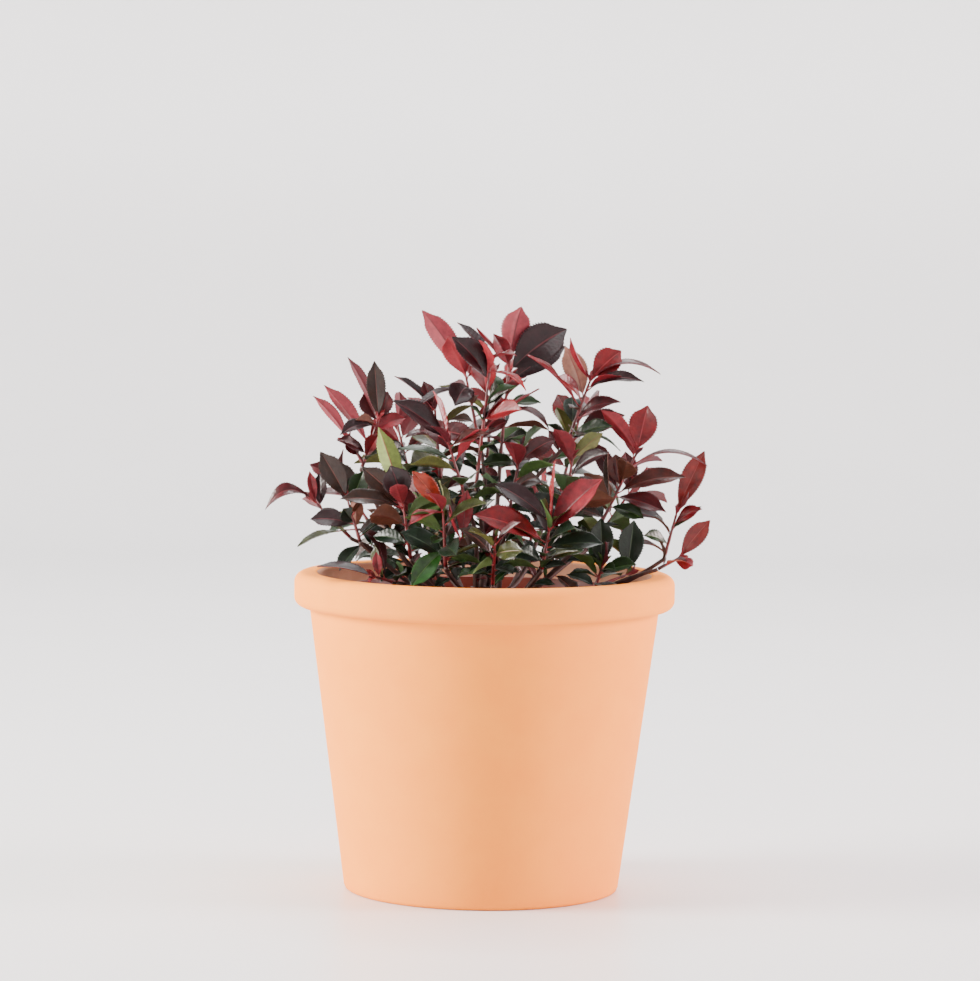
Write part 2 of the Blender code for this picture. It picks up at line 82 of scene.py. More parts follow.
def darker(hex_colour: str, share: float) -> str:
    """The same colour with each channel scaled down to a share of itself."""
    return "#%02x%02x%02x" % tuple(round(c * share) for c in channels(hex_colour))


def add_node(tree: bpy.types.NodeTree, kind: str, links: dict | None = None,
             **settings: object) -> bpy.types.Node:
    """Add one shader node, set its properties and input values, and wire its inputs.

    Args:
        tree: The node tree that gets the node.
        kind: The node's type name without the ShaderNode prefix.
        links: Input name or index to an output socket or a plain value.
        settings: Properties of the node itself.

    Returns:
        The new node.
    """
    node = tree.nodes.new("ShaderNode" + kind)
    for key, value in settings.items():
        setattr(node, key, value)
    for key, value in (links or {}).items():
        if isinstance(value, bpy.types.NodeSocket):
            tree.links.new(value, node.inputs[key])
        else:
            node.inputs[key].default_value = value
    return node


@dataclass(frozen=True)
class Finish:
    """A surface: two close tones that drift over it, a fine grain in relief, and its gloss.

    The blend is half the band of the noise, round its middle of 0.5, over which one tone turns into
    the other, so a smaller blend gives harder patches.
    """

    name: str
    tone: str
    drift: str
    drift_mm: float
    grain_mm: float
    grain_depth_mm: float
    roughness: float
    ior: float = 1.5
    coat: float = 0.0
    blend: float = 0.125
    drift_detail: float = 4.0
    drift_roughness: float = 0.6
    grain_detail: float = 3.0
    coat_roughness: float = 0.12

    def make(self) -> bpy.types.Material:
        """Build the material.

        Returns:
            A Principled material with drifting colour and a grain bump.
        """
        material = bpy.data.materials.new(self.name)
        material.use_nodes = True
        tree = material.node_tree
        shader = tree.nodes["Principled BSDF"]
        place = add_node(tree, "TexCoord").outputs["Object"]
        cloud = add_node(tree, "TexNoise", {"Vector": place, "Scale": 1 / (self.drift_mm * MM),
                                            "Detail": self.drift_detail, "Roughness": self.drift_roughness})
        spread = add_node(tree, "MapRange", {"Value": cloud.outputs["Fac"], "From Min": 0.5 - self.blend,
                                             "From Max": 0.5 + self.blend})
        mix = add_node(tree, "Mix", {"Factor": spread.outputs["Result"], MIX_FIRST: linear(self.tone),
                                     MIX_SECOND: linear(self.drift)}, data_type="RGBA")
        tree.links.new(mix.outputs[MIX_RESULT], shader.inputs["Base Color"])
        if self.grain_depth_mm:
            grain = add_node(tree, "TexNoise", {"Vector": place, "Scale": 1 / (self.grain_mm * MM),
                                                "Detail": self.grain_detail})
            bump = add_node(tree, "Bump", {"Height": grain.outputs["Fac"], "Strength": 1.0,
                                           "Distance": self.grain_depth_mm * MM})
            tree.links.new(bump.outputs["Normal"], shader.inputs["Normal"])
        for socket, value in (("Roughness", self.roughness), ("IOR", self.ior), ("Coat Weight", self.coat),
                              ("Coat Roughness", self.coat_roughness)):
            shader.inputs[socket].default_value = value
        return material


@dataclass(frozen=True)
class LeafTint:
    """The three colours of a leaf of one age: shiny upper side, matt underside and midrib."""

    upper: str
    under: str
    rib: str
    roughness: float = 0.36
    coat: float = 0.2
    upper_shade: float = 0.62
    under_shade: float = 0.78
    rib_shade: float = 0.85

    def make(self, name: str) -> list:
        """Build the waxy upper side, the matt underside and the midrib.

        Args:
            name: The tint's plain name.

        Returns:
            Three materials in slot order.
        """
        # Waxy cuticle: a soft pale glare, broken up by the small veins.
        upper = Finish(f"waxy upper side of a {name} leaf", self.upper, darker(self.upper, self.upper_shade),
                       drift_mm=5.0, grain_mm=1.7, grain_depth_mm=0.26, roughness=self.roughness,
                       ior=1.35, coat=self.coat, blend=0.2)
        # Underside without wax: matt, with a finer grain and no glare.
        under = Finish(f"matt underside of a {name} leaf", self.under, darker(self.under, self.under_shade),
                       drift_mm=3.0, grain_mm=1.3, grain_depth_mm=0.10, roughness=0.55, ior=1.45, blend=0.2)
        # Fleshy midrib: almost smooth, so it shows as a line of its own tone.
        rib = Finish(f"fleshy midrib of a {name} leaf", self.rib, darker(self.rib, self.rib_shade),
                     drift_mm=4.0, grain_mm=1.0, grain_depth_mm=0.02, roughness=0.42)
        return [upper.make(), under.make(), rib.make()]


class Tint(Enum):
    """A leaf's colours by its age and place, from dark purple over the reds to the greens."""

    PLUM = LeafTint("#22080d", "#5e1822", "#4c1018")
    MAROON = LeafTint("#450a10", "#78222a", "#6a161b")
    CRIMSON = LeafTint("#740a12", "#8a1e28", "#941c23", roughness=0.34, coat=0.1)
    SCARLET = LeafTint("#8e0e14", "#9a2a32", "#a8282e", roughness=0.34, coat=0.15)
    ROSE = LeafTint("#7c1722", "#842430", "#540c14", roughness=0.42, coat=0.08)
    RED = LeafTint("#70110c", "#802620", "#80241c")
    BRONZE = LeafTint("#2c170d", "#5c3424", "#5a261b")
    RUST = LeafTint("#4c170e", "#6c3024", "#6a281c")
    ORANGE = LeafTint("#8e2810", "#7e200f", "#a03c1e", roughness=0.4, coat=0.1)
    TAN = LeafTint("#704030", "#7c4c3c", "#6c2c22", roughness=0.5, coat=0.0)
    OLIVE = LeafTint("#31360f", "#5a5c2a", "#5c401f")
    GREEN = LeafTint("#16300c", "#405828", "#344c18")
    LEAF = LeafTint("#245019", "#507032", "#44682a")
    DEEP = LeafTint("#0a1b0b", "#304824", "#203414")
    LIME = LeafTint("#607026", "#728238", "#7c3226")


class Facing(Enum):
    """Which way a placed leaf's upper side faces."""

    UP = (0, 0, 1)
    FRONT = (0, -1, 0.25)
    FRONT_UP = (0, -0.75, 0.75)
    BACK = (0, 1, 0.25)
    BACK_UP = (0, 0.7, 0.7)
    LEFT = (-1, -0.35, 0.2)
    RIGHT = (1, -0.35, 0.2)


class Shade(Enum):
    """How old a shoot is, as the leaf tints from its base, middle and tip."""

    YOUNG = ((Tint.BRONZE, Tint.GREEN, Tint.MAROON), (Tint.MAROON, Tint.PLUM, Tint.CRIMSON),
             (Tint.CRIMSON, Tint.SCARLET, Tint.ROSE))
    MIXED = ((Tint.DEEP, Tint.GREEN, Tint.BRONZE), (Tint.MAROON, Tint.BRONZE, Tint.PLUM, Tint.OLIVE),
             (Tint.CRIMSON, Tint.MAROON, Tint.PLUM))
    OLD = ((Tint.DEEP, Tint.DEEP, Tint.GREEN), (Tint.DEEP, Tint.GREEN, Tint.BRONZE),
           (Tint.GREEN, Tint.MAROON, Tint.OLIVE, Tint.PLUM))


class Side(IntEnum):
    """A leaf's surfaces, by the place of their material."""

    UPPER = 0
    UNDER = 1
    RIB = 2


@dataclass(frozen=True)
class Leaf:
    """A listed leaf, in millimetres.

    A place above 1.0 is on the shoot's side twig, at the rest past 1.0 of that twig's length.
    """

    at: float
    reach: tuple
    width: float
    facing: Facing
    arch: float
    tint: Tint


@dataclass(frozen=True)
class Shoot:
    """One leafy mass: its main twig from foot to tip, its placed leaves and an optional side twig.

    The extra leaves are grown by a spiral rule. A side twig is its place on the main one and its reach.
    """

    name: str
    foot: tuple
    tip: tuple
    extra: int
    leaf_length: float
    shade: Shade
    leaves: tuple = ()
    twig: tuple = ()

    def bearing(self) -> float:
        """Direction of the foot round the stem, in radians."""
        return math.atan2(self.foot[1], self.foot[0])

    def off_axis(self) -> float:
        """Distance of the foot from the stem's axis, in millimetres."""
        return Vector((self.foot[0], self.foot[1], 0)).length

    def lines(self) -> list:
        """Find the main twig and the side twig.

        Returns:
            The start and the reach of each.
        """
        foot = Vector(self.foot)
        reach = Vector(self.tip) - foot
        found = [(foot, reach)]
        if self.twig:
            found.append((foot + reach * self.twig[0], Vector(self.twig[1])))
        return found


SHOOTS = (
    Shoot("top", (-6, -15, 257), (2, -20, 335), 5, 30, Shade.YOUNG, (
        Leaf(0.82, (-23, -6, 28), 17, Facing.FRONT_UP, 3, Tint.PLUM),
        Leaf(0.97, (-21, 8, 25), 11, Facing.UP, 2, Tint.PLUM),
        Leaf(1.0, (16, -8, 3), 9, Facing.UP, 2, Tint.CRIMSON),
        Leaf(0.95, (-7, -4, 16), 7, Facing.RIGHT, 1, Tint.SCARLET),
        Leaf(0.5, (7, 12, 28), 8, Facing.RIGHT, 0, Tint.GREEN),
        Leaf(0.5, (16, -8, 21), 9, Facing.LEFT, 2, Tint.PLUM),
        Leaf(0.42, (35, -18, 28), 7, Facing.UP, 2, Tint.MAROON),
        Leaf(0.9, (23, -12, -11), 7, Facing.UP, 4, Tint.SCARLET))),
    Shoot("top_left", (-5, 5, 284), (-14, 2, 326), 5, 28, Shade.YOUNG, (
        Leaf(0.97, (-28, 6, 40), 15, Facing.BACK, 2, Tint.ROSE),
        Leaf(0.9, (-12, -12, 27), 17, Facing.BACK, 2, Tint.CRIMSON),
        Leaf(0.75, (-32, -15, -11), 9, Facing.UP, 4, Tint.PLUM),
        Leaf(0.8, (-8, -20, -12), 17, Facing.FRONT, 3, Tint.PLUM))),
    Shoot("upper_left", (-29, 20, 258), (-33, 15, 303), 7, 28, Shade.MIXED, (
        Leaf(0.95, (-26, 0, 22), 12, Facing.UP, 2, Tint.PLUM),
        Leaf(0.9, (-8, 6, 21), 10, Facing.FRONT, 1, Tint.MAROON),
        Leaf(0.6, (-20, -6, -1), 12, Facing.UP, 2, Tint.MAROON))),
    Shoot("top_centre", (9, 20, 273), (14, 22, 335), 6, 28, Shade.YOUNG, (
        Leaf(0.98, (7, -4, 34), 18, Facing.BACK, 2, Tint.ROSE),
        Leaf(0.85, (37, 6, 28), 25, Facing.FRONT, 3, Tint.PLUM),
        Leaf(0.95, (-21, -5, 22), 8, Facing.LEFT, 1, Tint.ROSE),
        Leaf(0.75, (37, 16, 23), 14, Facing.FRONT, 1, Tint.PLUM),
        Leaf(0.45, (28, -12, -10), 9, Facing.UP, 6, Tint.MAROON))),
    Shoot("upper_right", (51, 5, 283), (65, 0, 323), 4, 24, Shade.YOUNG, (
        Leaf(0.55, (-34, -16, 33), 14, Facing.UP, 3, Tint.CRIMSON),
        Leaf(0.97, (-13, -3, 27), 9, Facing.LEFT, 1, Tint.ROSE),
        Leaf(1.0, (19, 4, 18), 17, Facing.FRONT, 1, Tint.CRIMSON),
        Leaf(0.97, (44, -5, 5), 10, Facing.UP, 9, Tint.MAROON),
        Leaf(0.8, (36, -14, 7), 9, Facing.FRONT_UP, 6, Tint.PLUM),
        Leaf(0.35, (28, -10, 12), 11, Facing.FRONT_UP, 4, Tint.MAROON),
        Leaf(0.7, (-12, 8, 32), 15, Facing.BACK, 2, Tint.TAN),
        Leaf(0.05, (27, -14, 9), 12, Facing.FRONT_UP, 2, Tint.GREEN),
        Leaf(0.1, (32, -6, -9), 4, Facing.UP, 5, Tint.GREEN))),
    Shoot("right", (71, -5, 229), (95, -5, 278), 6, 24, Shade.MIXED, (
        Leaf(1.0, (6, 2, 29), 18, Facing.FRONT, 1, Tint.CRIMSON),
        Leaf(0.98, (-23, -4, 27), 12, Facing.BACK_UP, 2, Tint.CRIMSON),
        Leaf(0.8, (48, -14, 2), 7, Facing.UP, 9, Tint.MAROON),
        Leaf(0.45, (43, -12, 12), 14, Facing.FRONT_UP, 4, Tint.RUST),
        Leaf(0.42, (32, -8, -9), 14, Facing.FRONT_UP, 2, Tint.MAROON),
        Leaf(0.33, (-3, -8, 32), 9, Facing.LEFT, 1, Tint.BRONZE),
        Leaf(0.55, (-3, 4, 20), 15, Facing.FRONT, 0, Tint.RUST),
        Leaf(0.5, (-15, 8, 29), 11, Facing.FRONT, 1, Tint.MAROON))),
    Shoot("far_right", (113, -4, 212), (120, -9, 240), 2, 20, Shade.YOUNG, (
        Leaf(1.0, (17, 3, 39), 14, Facing.FRONT, 1, Tint.RED),
        Leaf(0.98, (7, -6, 14), 7, Facing.RIGHT, 1, Tint.MAROON),
        Leaf(0.62, (18, -4, 15), 8, Facing.FRONT_UP, 1, Tint.OLIVE),
        Leaf(0.5, (-13, -6, 12), 8, Facing.UP, 2, Tint.BRONZE),
        Leaf(0.08, (-23, -8, 4), 9, Facing.UP, 4, Tint.RUST))),
    Shoot("far_right_low", (108, -26, 206), (121, -27, 213), 2, 18, Shade.YOUNG, (
        Leaf(1.0, (19, 0, 24), 12, Facing.FRONT, 1, Tint.RED),
        Leaf(0.3, (13, -16, 4), 8, Facing.UP, 2, Tint.MAROON))),
    Shoot("low_right", (68, -40, 194), (73, -42, 209), 7, 24, Shade.OLD, (
        Leaf(0.9, (-1, 2, 31), 15, Facing.FRONT, 0, Tint.DEEP),
        Leaf(0.5, (-18, -6, 3), 8, Facing.UP, 2, Tint.GREEN),
        Leaf(0.7, (-8, -4, 11), 10, Facing.UP, 3, Tint.GREEN),
        Leaf(0.7, (9, -12, 3), 9, Facing.FRONT_UP, 2, Tint.GREEN),
        Leaf(2.0, (4, 2, 34), 16, Facing.FRONT, 0, Tint.DEEP)), (0.1, (20, 10, 7))),
    Shoot("front_centre", (35, -60, 208), (40, -62, 237), 8, 28, Shade.OLD, (
        Leaf(0.8, (32, -6, 33), 20, Facing.FRONT_UP, 2, Tint.ROSE),
        Leaf(1.0, (2, -4, 38), 6, Facing.LEFT, 0, Tint.SCARLET),
        Leaf(0.55, (-45, -14, 18), 20, Facing.FRONT_UP, 3, Tint.CRIMSON),
        Leaf(1.0, (-34, 6, 23), 14, Facing.FRONT_UP, 2, Tint.PLUM),
        Leaf(0.45, (35, -12, 4), 15, Facing.FRONT_UP, 2, Tint.DEEP),
        Leaf(0.15, (22, -16, 8), 10, Facing.FRONT_UP, 2, Tint.OLIVE))),
    Shoot("front_left", (-24, -62, 209), (-26, -70, 245), 8, 28, Shade.OLD, (
        Leaf(1.0, (-19, -4, 23), 12, Facing.FRONT, 1, Tint.ORANGE),
        Leaf(0.95, (-20, -12, -7), 12, Facing.UP, 2, Tint.ROSE),
        Leaf(2.0, (3, -2, 30), 10, Facing.FRONT, 0, Tint.ROSE),
        Leaf(1.9, (-7, -4, 22), 7, Facing.LEFT, 0, Tint.ROSE),
        Leaf(0.12, (30, -12, 11), 9, Facing.UP, 2, Tint.OLIVE),
        Leaf(0.3, (-20, -14, -22), 13, Facing.FRONT, 2, Tint.LEAF),
        Leaf(0.15, (-28, 6, 15), 16, Facing.FRONT_UP, 2, Tint.DEEP)), (0.15, (10, 1, 12))),
    Shoot("centre_left", (-10, -38, 241), (-24, -45, 286), 8, 28, Shade.MIXED, (
        Leaf(1.0, (-9, -3, 30), 9, Facing.RIGHT, 1, Tint.SCARLET),
        Leaf(0.98, (-34, -8, 25), 16, Facing.FRONT_UP, 2, Tint.PLUM),
        Leaf(0.9, (23, -6, 9), 10, Facing.FRONT_UP, 2, Tint.RUST),
        Leaf(0.7, (-35, 4, 7), 13, Facing.UP, 2, Tint.GREEN))),
    Shoot("left_top", (-78, -5, 266), (-68, -5, 296), 2, 22, Shade.YOUNG, (
        Leaf(1.0, (-3, -3, 37), 12, Facing.FRONT, 1, Tint.BRONZE),
        Leaf(0.95, (-9, 6, 18), 13, Facing.FRONT, 0, Tint.MAROON),
        Leaf(0.95, (6, 6, 19), 12, Facing.FRONT, 0, Tint.MAROON),
        Leaf(1.0, (-20, 3, 39), 8, Facing.BACK_UP, 2, Tint.PLUM),
        Leaf(0.45, (-29, -2, 38), 11, Facing.BACK_UP, 2, Tint.ROSE),
        Leaf(2.0, (-23, -2, 28), 9, Facing.BACK_UP, 2, Tint.ROSE),
        Leaf(0.85, (-22, -14, -5), 10, Facing.FRONT_UP, 4, Tint.PLUM),
        Leaf(0.9, (-13, -8, 3), 8, Facing.BACK, 1, Tint.TAN),
        Leaf(0.2, (9, -6, 16), 11, Facing.FRONT, 0, Tint.CRIMSON),
        Leaf(1.3, (-8, -4, 12), 9, Facing.FRONT, 0, Tint.MAROON)), (0.08, (-9, 0, 14))),
    Shoot("left", (-78, -28, 221), (-86, -30, 247), 4, 24, Shade.MIXED, (
        Leaf(1.0, (-17, -5, 30), 15, Facing.FRONT, 1, Tint.BRONZE),
        Leaf(0.9, (-8, 6, 27), 15, Facing.UP, 1, Tint.BRONZE),
        Leaf(0.8, (8, 4, 23), 13, Facing.FRONT, 0, Tint.GREEN),
        Leaf(0.3, (0, -4, 20), 9, Facing.BACK, 0, Tint.TAN),
        Leaf(0.45, (-7, -2, 9), 11, Facing.FRONT, 0, Tint.DEEP),
        Leaf(0.1, (22, -2, 15), 9, Facing.UP, 1, Tint.DEEP))),
    Shoot("far_left", (-85, -8, 222), (-107, -12, 244), 2, 20, Shade.MIXED, (
        Leaf(1.0, (-31, -4, -5), 10, Facing.FRONT_UP, 11, Tint.MAROON),
        Leaf(0.98, (-4, -2, 20), 6, Facing.FRONT, 0, Tint.ROSE),
        Leaf(0.85, (13, -10, -10), 10, Facing.FRONT_UP, 1, Tint.BRONZE),
        Leaf(0.2, (-28, -10, -10), 9, Facing.UP, 2, Tint.OLIVE),
        Leaf(0.1, (-9, -4, 5), 12, Facing.UP, 1, Tint.DEEP),
        Leaf(0.85, (-1, 6, 21), 9, Facing.FRONT, 0, Tint.PLUM),
        Leaf(0.2, (27, -18, -26), 9, Facing.UP, 12, Tint.MAROON))),
    Shoot("inner_left", (-46, -40, 212), (-51, -48, 247), 8, 27, Shade.OLD, (
        Leaf(0.9, (-39, -14, 6), 13, Facing.FRONT_UP, 3, Tint.BRONZE),
        Leaf(1.0, (-8, -4, 23), 18, Facing.FRONT, 1, Tint.PLUM),
        Leaf(0.95, (-26, 4, 23), 14, Facing.FRONT, 1, Tint.BRONZE),
        Leaf(0.97, (-16, 8, 47), 13, Facing.BACK, 1, Tint.LIME))),
    Shoot("rim_left", (-55, -55, 198), (-67, -72, 203), 3, 20, Shade.MIXED, (
        Leaf(1.0, (-36, 8, 5), 13, Facing.UP, 2, Tint.PLUM),
        Leaf(0.8, (-2, 0, 16), 6, Facing.FRONT, 0, Tint.ROSE))),
    Shoot("centre", (12, -20, 225), (22, -25, 281), 14, 31, Shade.OLD),
    Shoot("centre_right", (46, -28, 222), (54, -30, 277), 13, 31, Shade.OLD),
    Shoot("low_centre", (5, -72, 199), (6, -86, 226), 12, 27, Shade.OLD),
    Shoot("low_left", (-34, 6, 204), (-42, 12, 246), 12, 30, Shade.OLD),
    Shoot("back_high", (0, 46, 262), (4, 56, 322), 13, 32, Shade.MIXED),
    Shoot("back_left_high", (-44, 42, 238), (-58, 52, 292), 12, 32, Shade.MIXED),
    Shoot("back_right_high", (46, 42, 242), (60, 52, 298), 12, 32, Shade.MIXED),
    Shoot("back_left", (-66, 46, 214), (-94, 62, 254), 12, 30, Shade.MIXED),
    Shoot("back_right", (68, 44, 214), (96, 60, 252), 12, 30, Shade.MIXED),
    Shoot("back_low_left", (-26, 66, 208), (-38, 92, 244), 11, 30, Shade.MIXED),
    Shoot("back_low_right", (28, 66, 208), (36, 94, 248), 11, 30, Shade.MIXED),
)


@dataclass(frozen=True)
class Blade:
    """One leaf as it grows: root, reach, width, facing and arch in millimetres, and its tint."""

    foot: Vector
    reach: Vector
    width: float
    facing: Vector
    arch: float
    tint: Tint

    def along(self) -> Vector:
        """Unit direction from the leaf's root to its tip."""
        return self.reach / self.reach.length

    def squared(self, facing: Vector) -> Vector:
        """A facing turned square to the leaf's reach, of unit length."""
        along = self.along()
        return (facing - along * facing.dot(along)).normalized()

    def lift(self) -> Vector:
        """Unit direction in which the leaf bows, between its facing and straight up."""
        along = self.along()
        return (self.squared(self.facing) * BOW_FACING + (UP - along * along.z) * BOW_UP).normalized()

    def bow(self, share: float | np.ndarray) -> float | np.ndarray:
        """Height of the bow at a share of the length: a parabola that is the arch at the middle."""
        return self.arch * 4 * share * (1 - share)


# Fired clay, turned and smoothed: matt, chalky peach that drifts warmer. Its grit, about 0.3 mm on real
# clay, is drawn at 0.9 mm so that it shows.
TERRACOTTA = Finish("fired terracotta, turned and smoothed", "#fb9526", "#f78d20",
                    drift_mm=26.0, grain_mm=0.9, grain_depth_mm=0.12, roughness=0.85, ior=1.35, blend=0.275)
# The same clay inside, left rough, in a darker, greyer and more pink tone: painted shade inside the pot.
SHADED_CLAY_INSIDE = Finish("fired terracotta, dusty inside", "#d39a7c", "#c48a6e",
                     drift_mm=12.0, grain_mm=0.8, grain_depth_mm=0.15, roughness=0.9, blend=0.25)
# Injection moulded polypropylene: dull brown-red wall with a faint sheen. Its fine mould texture is
# drawn at 1.5 mm so that it shows.
GROW_PLASTIC = Finish("moulded polypropylene nursery pot", "#7a2f22", "#6a281d",
                      drift_mm=30.0, grain_mm=1.5, grain_depth_mm=0.03, roughness=0.42)
# Peat compost: black-brown crumbs in paler brown patches, with no gloss.
PEAT = Finish("peat compost, loose crumbs", "#1a120d", "#37261a",
              drift_mm=3.0, grain_mm=0.8, grain_depth_mm=0.5, roughness=0.95, blend=0.2)
# Old photinia bark: dark purple-brown, finely cracked, a dull shine on the ridges.
OLD_BARK = Finish("grown bark, finely cracked", "#2c1512", "#4a2820",
                  drift_mm=3.0, grain_mm=0.7, grain_depth_mm=0.25, roughness=0.62, blend=0.2)
# This year's wood: red skin, smooth and slightly waxy, so it catches a thin highlight.
YOUNG_BARK = Finish("young shoot skin, smooth and waxy", "#3e0e11", "#6e161a",
                    drift_mm=6.0, grain_mm=0.8, grain_depth_mm=0.03, roughness=0.38, coat=0.15)
# Leaf stalks: bright red, juicy and smooth, with a small clear highlight.
STALK_SKIN = Finish("leaf stalk skin, fleshy", "#8c1a1f", "#741519",
                    drift_mm=4.0, grain_mm=0.6, grain_depth_mm=0.02, roughness=0.4, coat=0.1)
# Seamless photo paper: pale grey, very slightly satin so that the pot's foot shows faintly in it.
PAPER = Finish("coated backdrop paper", "#e4e4e5", "#e2e2e3",
               drift_mm=400.0, grain_mm=1.0, grain_depth_mm=0.0, roughness=0.4)


def bezier(points: tuple, share: float) -> Vector:
    """Find a point on a cubic curve.

    Args:
        points: The curve's four control points.
        share: Place along the curve from 0 to 1.

    Returns:
        The point.
    """
    a, b, c, d = points
    rest = 1 - share
    return a * rest ** 3 + b * 3 * rest ** 2 * share + c * 3 * rest * share ** 2 + d * share ** 3


def side_axes(axis: Vector) -> tuple:
    """Two unit directions square to an axis and to each other."""
    across = axis.orthogonal().normalized()
    return across, axis.cross(across)


def turned(first: Vector, second: Vector, angle: float) -> Vector:
    """The direction at an angle in radians from the first direction towards the second."""
    return first * math.cos(angle) + second * math.sin(angle)


def taper(first: float, last: float, steps: int) -> list:
    """Radii that run evenly from the first to the last."""
    return [first + (last - first) * k / steps for k in range(steps + 1)]


def search_tree(meshes: list) -> BVHTree:
    """Gather meshes into one tree that finds the nearest face to a point.

    Args:
        meshes: The meshes, in metres.

    Returns:
        The search tree, in millimetres.
    """
    spots: list = []
    faces: list = []
    for mesh in meshes:
        base = len(spots)
        spots += [v.co / MM for v in mesh.vertices]
        faces += [tuple(base + k for k in p.vertices) for p in mesh.polygons]
    return BVHTree.FromPolygons(spots, faces)


def link_mesh(name: str, mesh: bpy.types.Mesh, materials: list) -> bpy.types.Object:
    """Put a finished mesh in the scene as one riding piece.

    Args:
        name: The piece's plain name.
        mesh: Its mesh in metres.
        materials: Its materials in slot order.

    Returns:
        The piece, riding on the root body.
    """
    for material in materials:
        mesh.materials.append(material)
    mesh.shade_smooth()
    piece = bpy.data.objects.new(name, mesh)
    bpy.context.scene.collection.objects.link(piece)
    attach(piece, "root")
    return piece


def no_relief(point: Vector) -> float:
    """The depth of a skin without relief."""
    return 0.0


def lathe(name: str, profile: list, sides: int,
          relief: Callable[[Vector], float] = no_relief) -> bpy.types.Mesh:
    """Spin a profile about the Z axis and push its skin in by a relief.

    Args:
        name: Name of the mesh.
        profile: Radius and height pairs in millimetres, starting on the axis.
        sides: Number of segments round the axis.
        relief: Gives the depth in millimetres by which a point is pushed in against its normal.

    Returns:
        The mesh in metres, closed where the profile also ends on the axis.
    """
    shape = bmesh.new()
    points = [shape.verts.new(Vector((r, 0, z))) for r, z in profile]
    edges = [shape.edges.new(pair) for pair in zip(points, points[1:])]
    bmesh.ops.spin(shape, geom=points + edges, cent=(0, 0, 0), axis=(0, 0, 1),
                   angle=math.tau, steps=sides, use_merge=True)
    bmesh.ops.remove_doubles(shape, verts=shape.verts, dist=WELD)
    bmesh.ops.recalc_face_normals(shape, faces=shape.faces)
    shape.normal_update()
    moved = [(v, v.co - v.normal * relief(v.co)) for v in shape.verts]
    for vert, place in moved:
        vert.co = place * MM
    mesh = bpy.data.meshes.new(name)
    shape.to_mesh(mesh)
    shape.free()
    return mesh


def finer(profile: list, step: float) -> list:
    """Split the long edges of a profile into steps of about the same length.

    Args:
        profile: Radius and height pairs.
        step: The wished length of a step.

    Returns:
        The profile with the new points in it.
    """
    out = [profile[0]]
    for (r0, z0), (r1, z1) in zip(profile, profile[1:]):
        count = max(1, round(math.hypot(r1 - r0, z1 - z0) / step))
        out += [(r0 + (r1 - r0) * k / count, z0 + (z1 - z0) * k / count) for k in range(1, count + 1)]
    return out


def arc(centre: tuple, radius: float, start: float, end: float, steps: int) -> list:
    """Points of an arc in the plane of radius and height, from one angle in degrees to another."""
    turns = [math.radians(start + (end - start) * k / steps) for k in range(steps + 1)]
    return [(centre[0] + radius * math.cos(a), centre[1] + radius * math.sin(a)) for a in turns]


@dataclass
class ClayPot:
    """The outer terracotta pot with its rolled bead, in millimetres as in the part's source."""

    height: float = 200.0
    foot_radius: float = 86.6
    foot_edge: tuple = ((-2.0, 0.0), (-0.6, 0.6), (0.3, 2.5))
    neck_radius: float = 110.2
    neck_height: float = 178.5
    neck_step: float = 0.6
    bead_radius: float = 120.0
    bead_start: float = -80.0
    top_round: float = 6.5
    low_round: float = 6.0
    lip_round: float = 2.5
    wall: float = 8.5
    floor: float = 11.0
    cove: float = 3.0
    cove_out: float = 1.0
    # How far the darker inside tone, painted shade, reaches: past the inner wall, below the floor and up to
    # just under the rim.
    painted_shade_reach: float = 1.2
    painted_shade_under_floor: float = 1.0
    painted_shade_under_rim: float = 0.6
    sway_depth: float = 0.06
    sway_mm: tuple = (40.0, 40.0, 9.0)
    pit_mm: float = 3.1
    pit_level: float = 0.62
    pit_depth: float = 1.6
    sides: int = 160
    ring_step: float = 4.0
    finish: Finish = TERRACOTTA

    def wall_radius(self, height: float) -> float:
        """Outer radius of the straight wall at a height."""
        return self.foot_radius + (self.neck_radius - self.foot_radius) * height / self.neck_height

    def relief(self, point: Vector) -> float:
        """Work out the unevenness from turning, and the small pits.

        Args:
            point: A point of the skin.

        Returns:
            The depth in millimetres.
        """
        scaled = Vector([part / size for part, size in zip(point, self.sway_mm)])
        sway = self.sway_depth * (1 + noise.noise(scaled))
        pit = max(0.0, noise.noise(point / self.pit_mm) - self.pit_level) * self.pit_depth
        return sway + pit

    def profile(self) -> list:
        """Draw the pot's section from the middle of the foot round to the middle of the floor.

        Returns:
            Radius and height pairs.
        """
        low = (self.bead_radius - self.low_round, self.neck_height + self.low_round)
        top = (self.bead_radius - self.top_round, self.height - self.top_round)
        lip = (self.wall_radius(self.height) - self.wall + self.lip_round, self.height - self.lip_round)
        corner = self.wall_radius(self.floor) - self.wall
        points = [(0, 0)] + [(self.foot_radius + out, up) for out, up in self.foot_edge]
        points.append((self.neck_radius, self.neck_height - self.neck_step))
        points += arc(low, self.low_round, self.bead_start, 0, steps=8)
        points += arc(top, self.top_round, 0, 90, steps=10)
        points += arc(lip, self.lip_round, 90, 180, steps=6)
        points += [(corner + self.cove_out, self.floor + self.cove), (corner - self.cove, self.floor)]
        return points + [(0, self.floor)]

    def build(self) -> bpy.types.Object:
        """Build and dress the pot.

        Returns:
            The piece that replaces the CAD pot.
        """
        mesh = lathe("clay_pot", finer(self.profile(), self.ring_step), self.sides, self.relief)
        # The faces inside the pot, along its inner wall and floor, take the darker inside tone: painted
        # shade.
        low = self.floor - self.painted_shade_under_floor
        high = self.height - self.painted_shade_under_rim
        for face in mesh.polygons:
            middle = face.center / MM
            edge = self.wall_radius(middle.z) - self.wall + self.painted_shade_reach
            face.material_index = int(math.hypot(middle.x, middle.y) < edge and low < middle.z < high)
        piece = link_mesh("clay_pot", mesh, [self.finish.make(), SHADED_CLAY_INSIDE.make()])
        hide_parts("pot")
        return piece


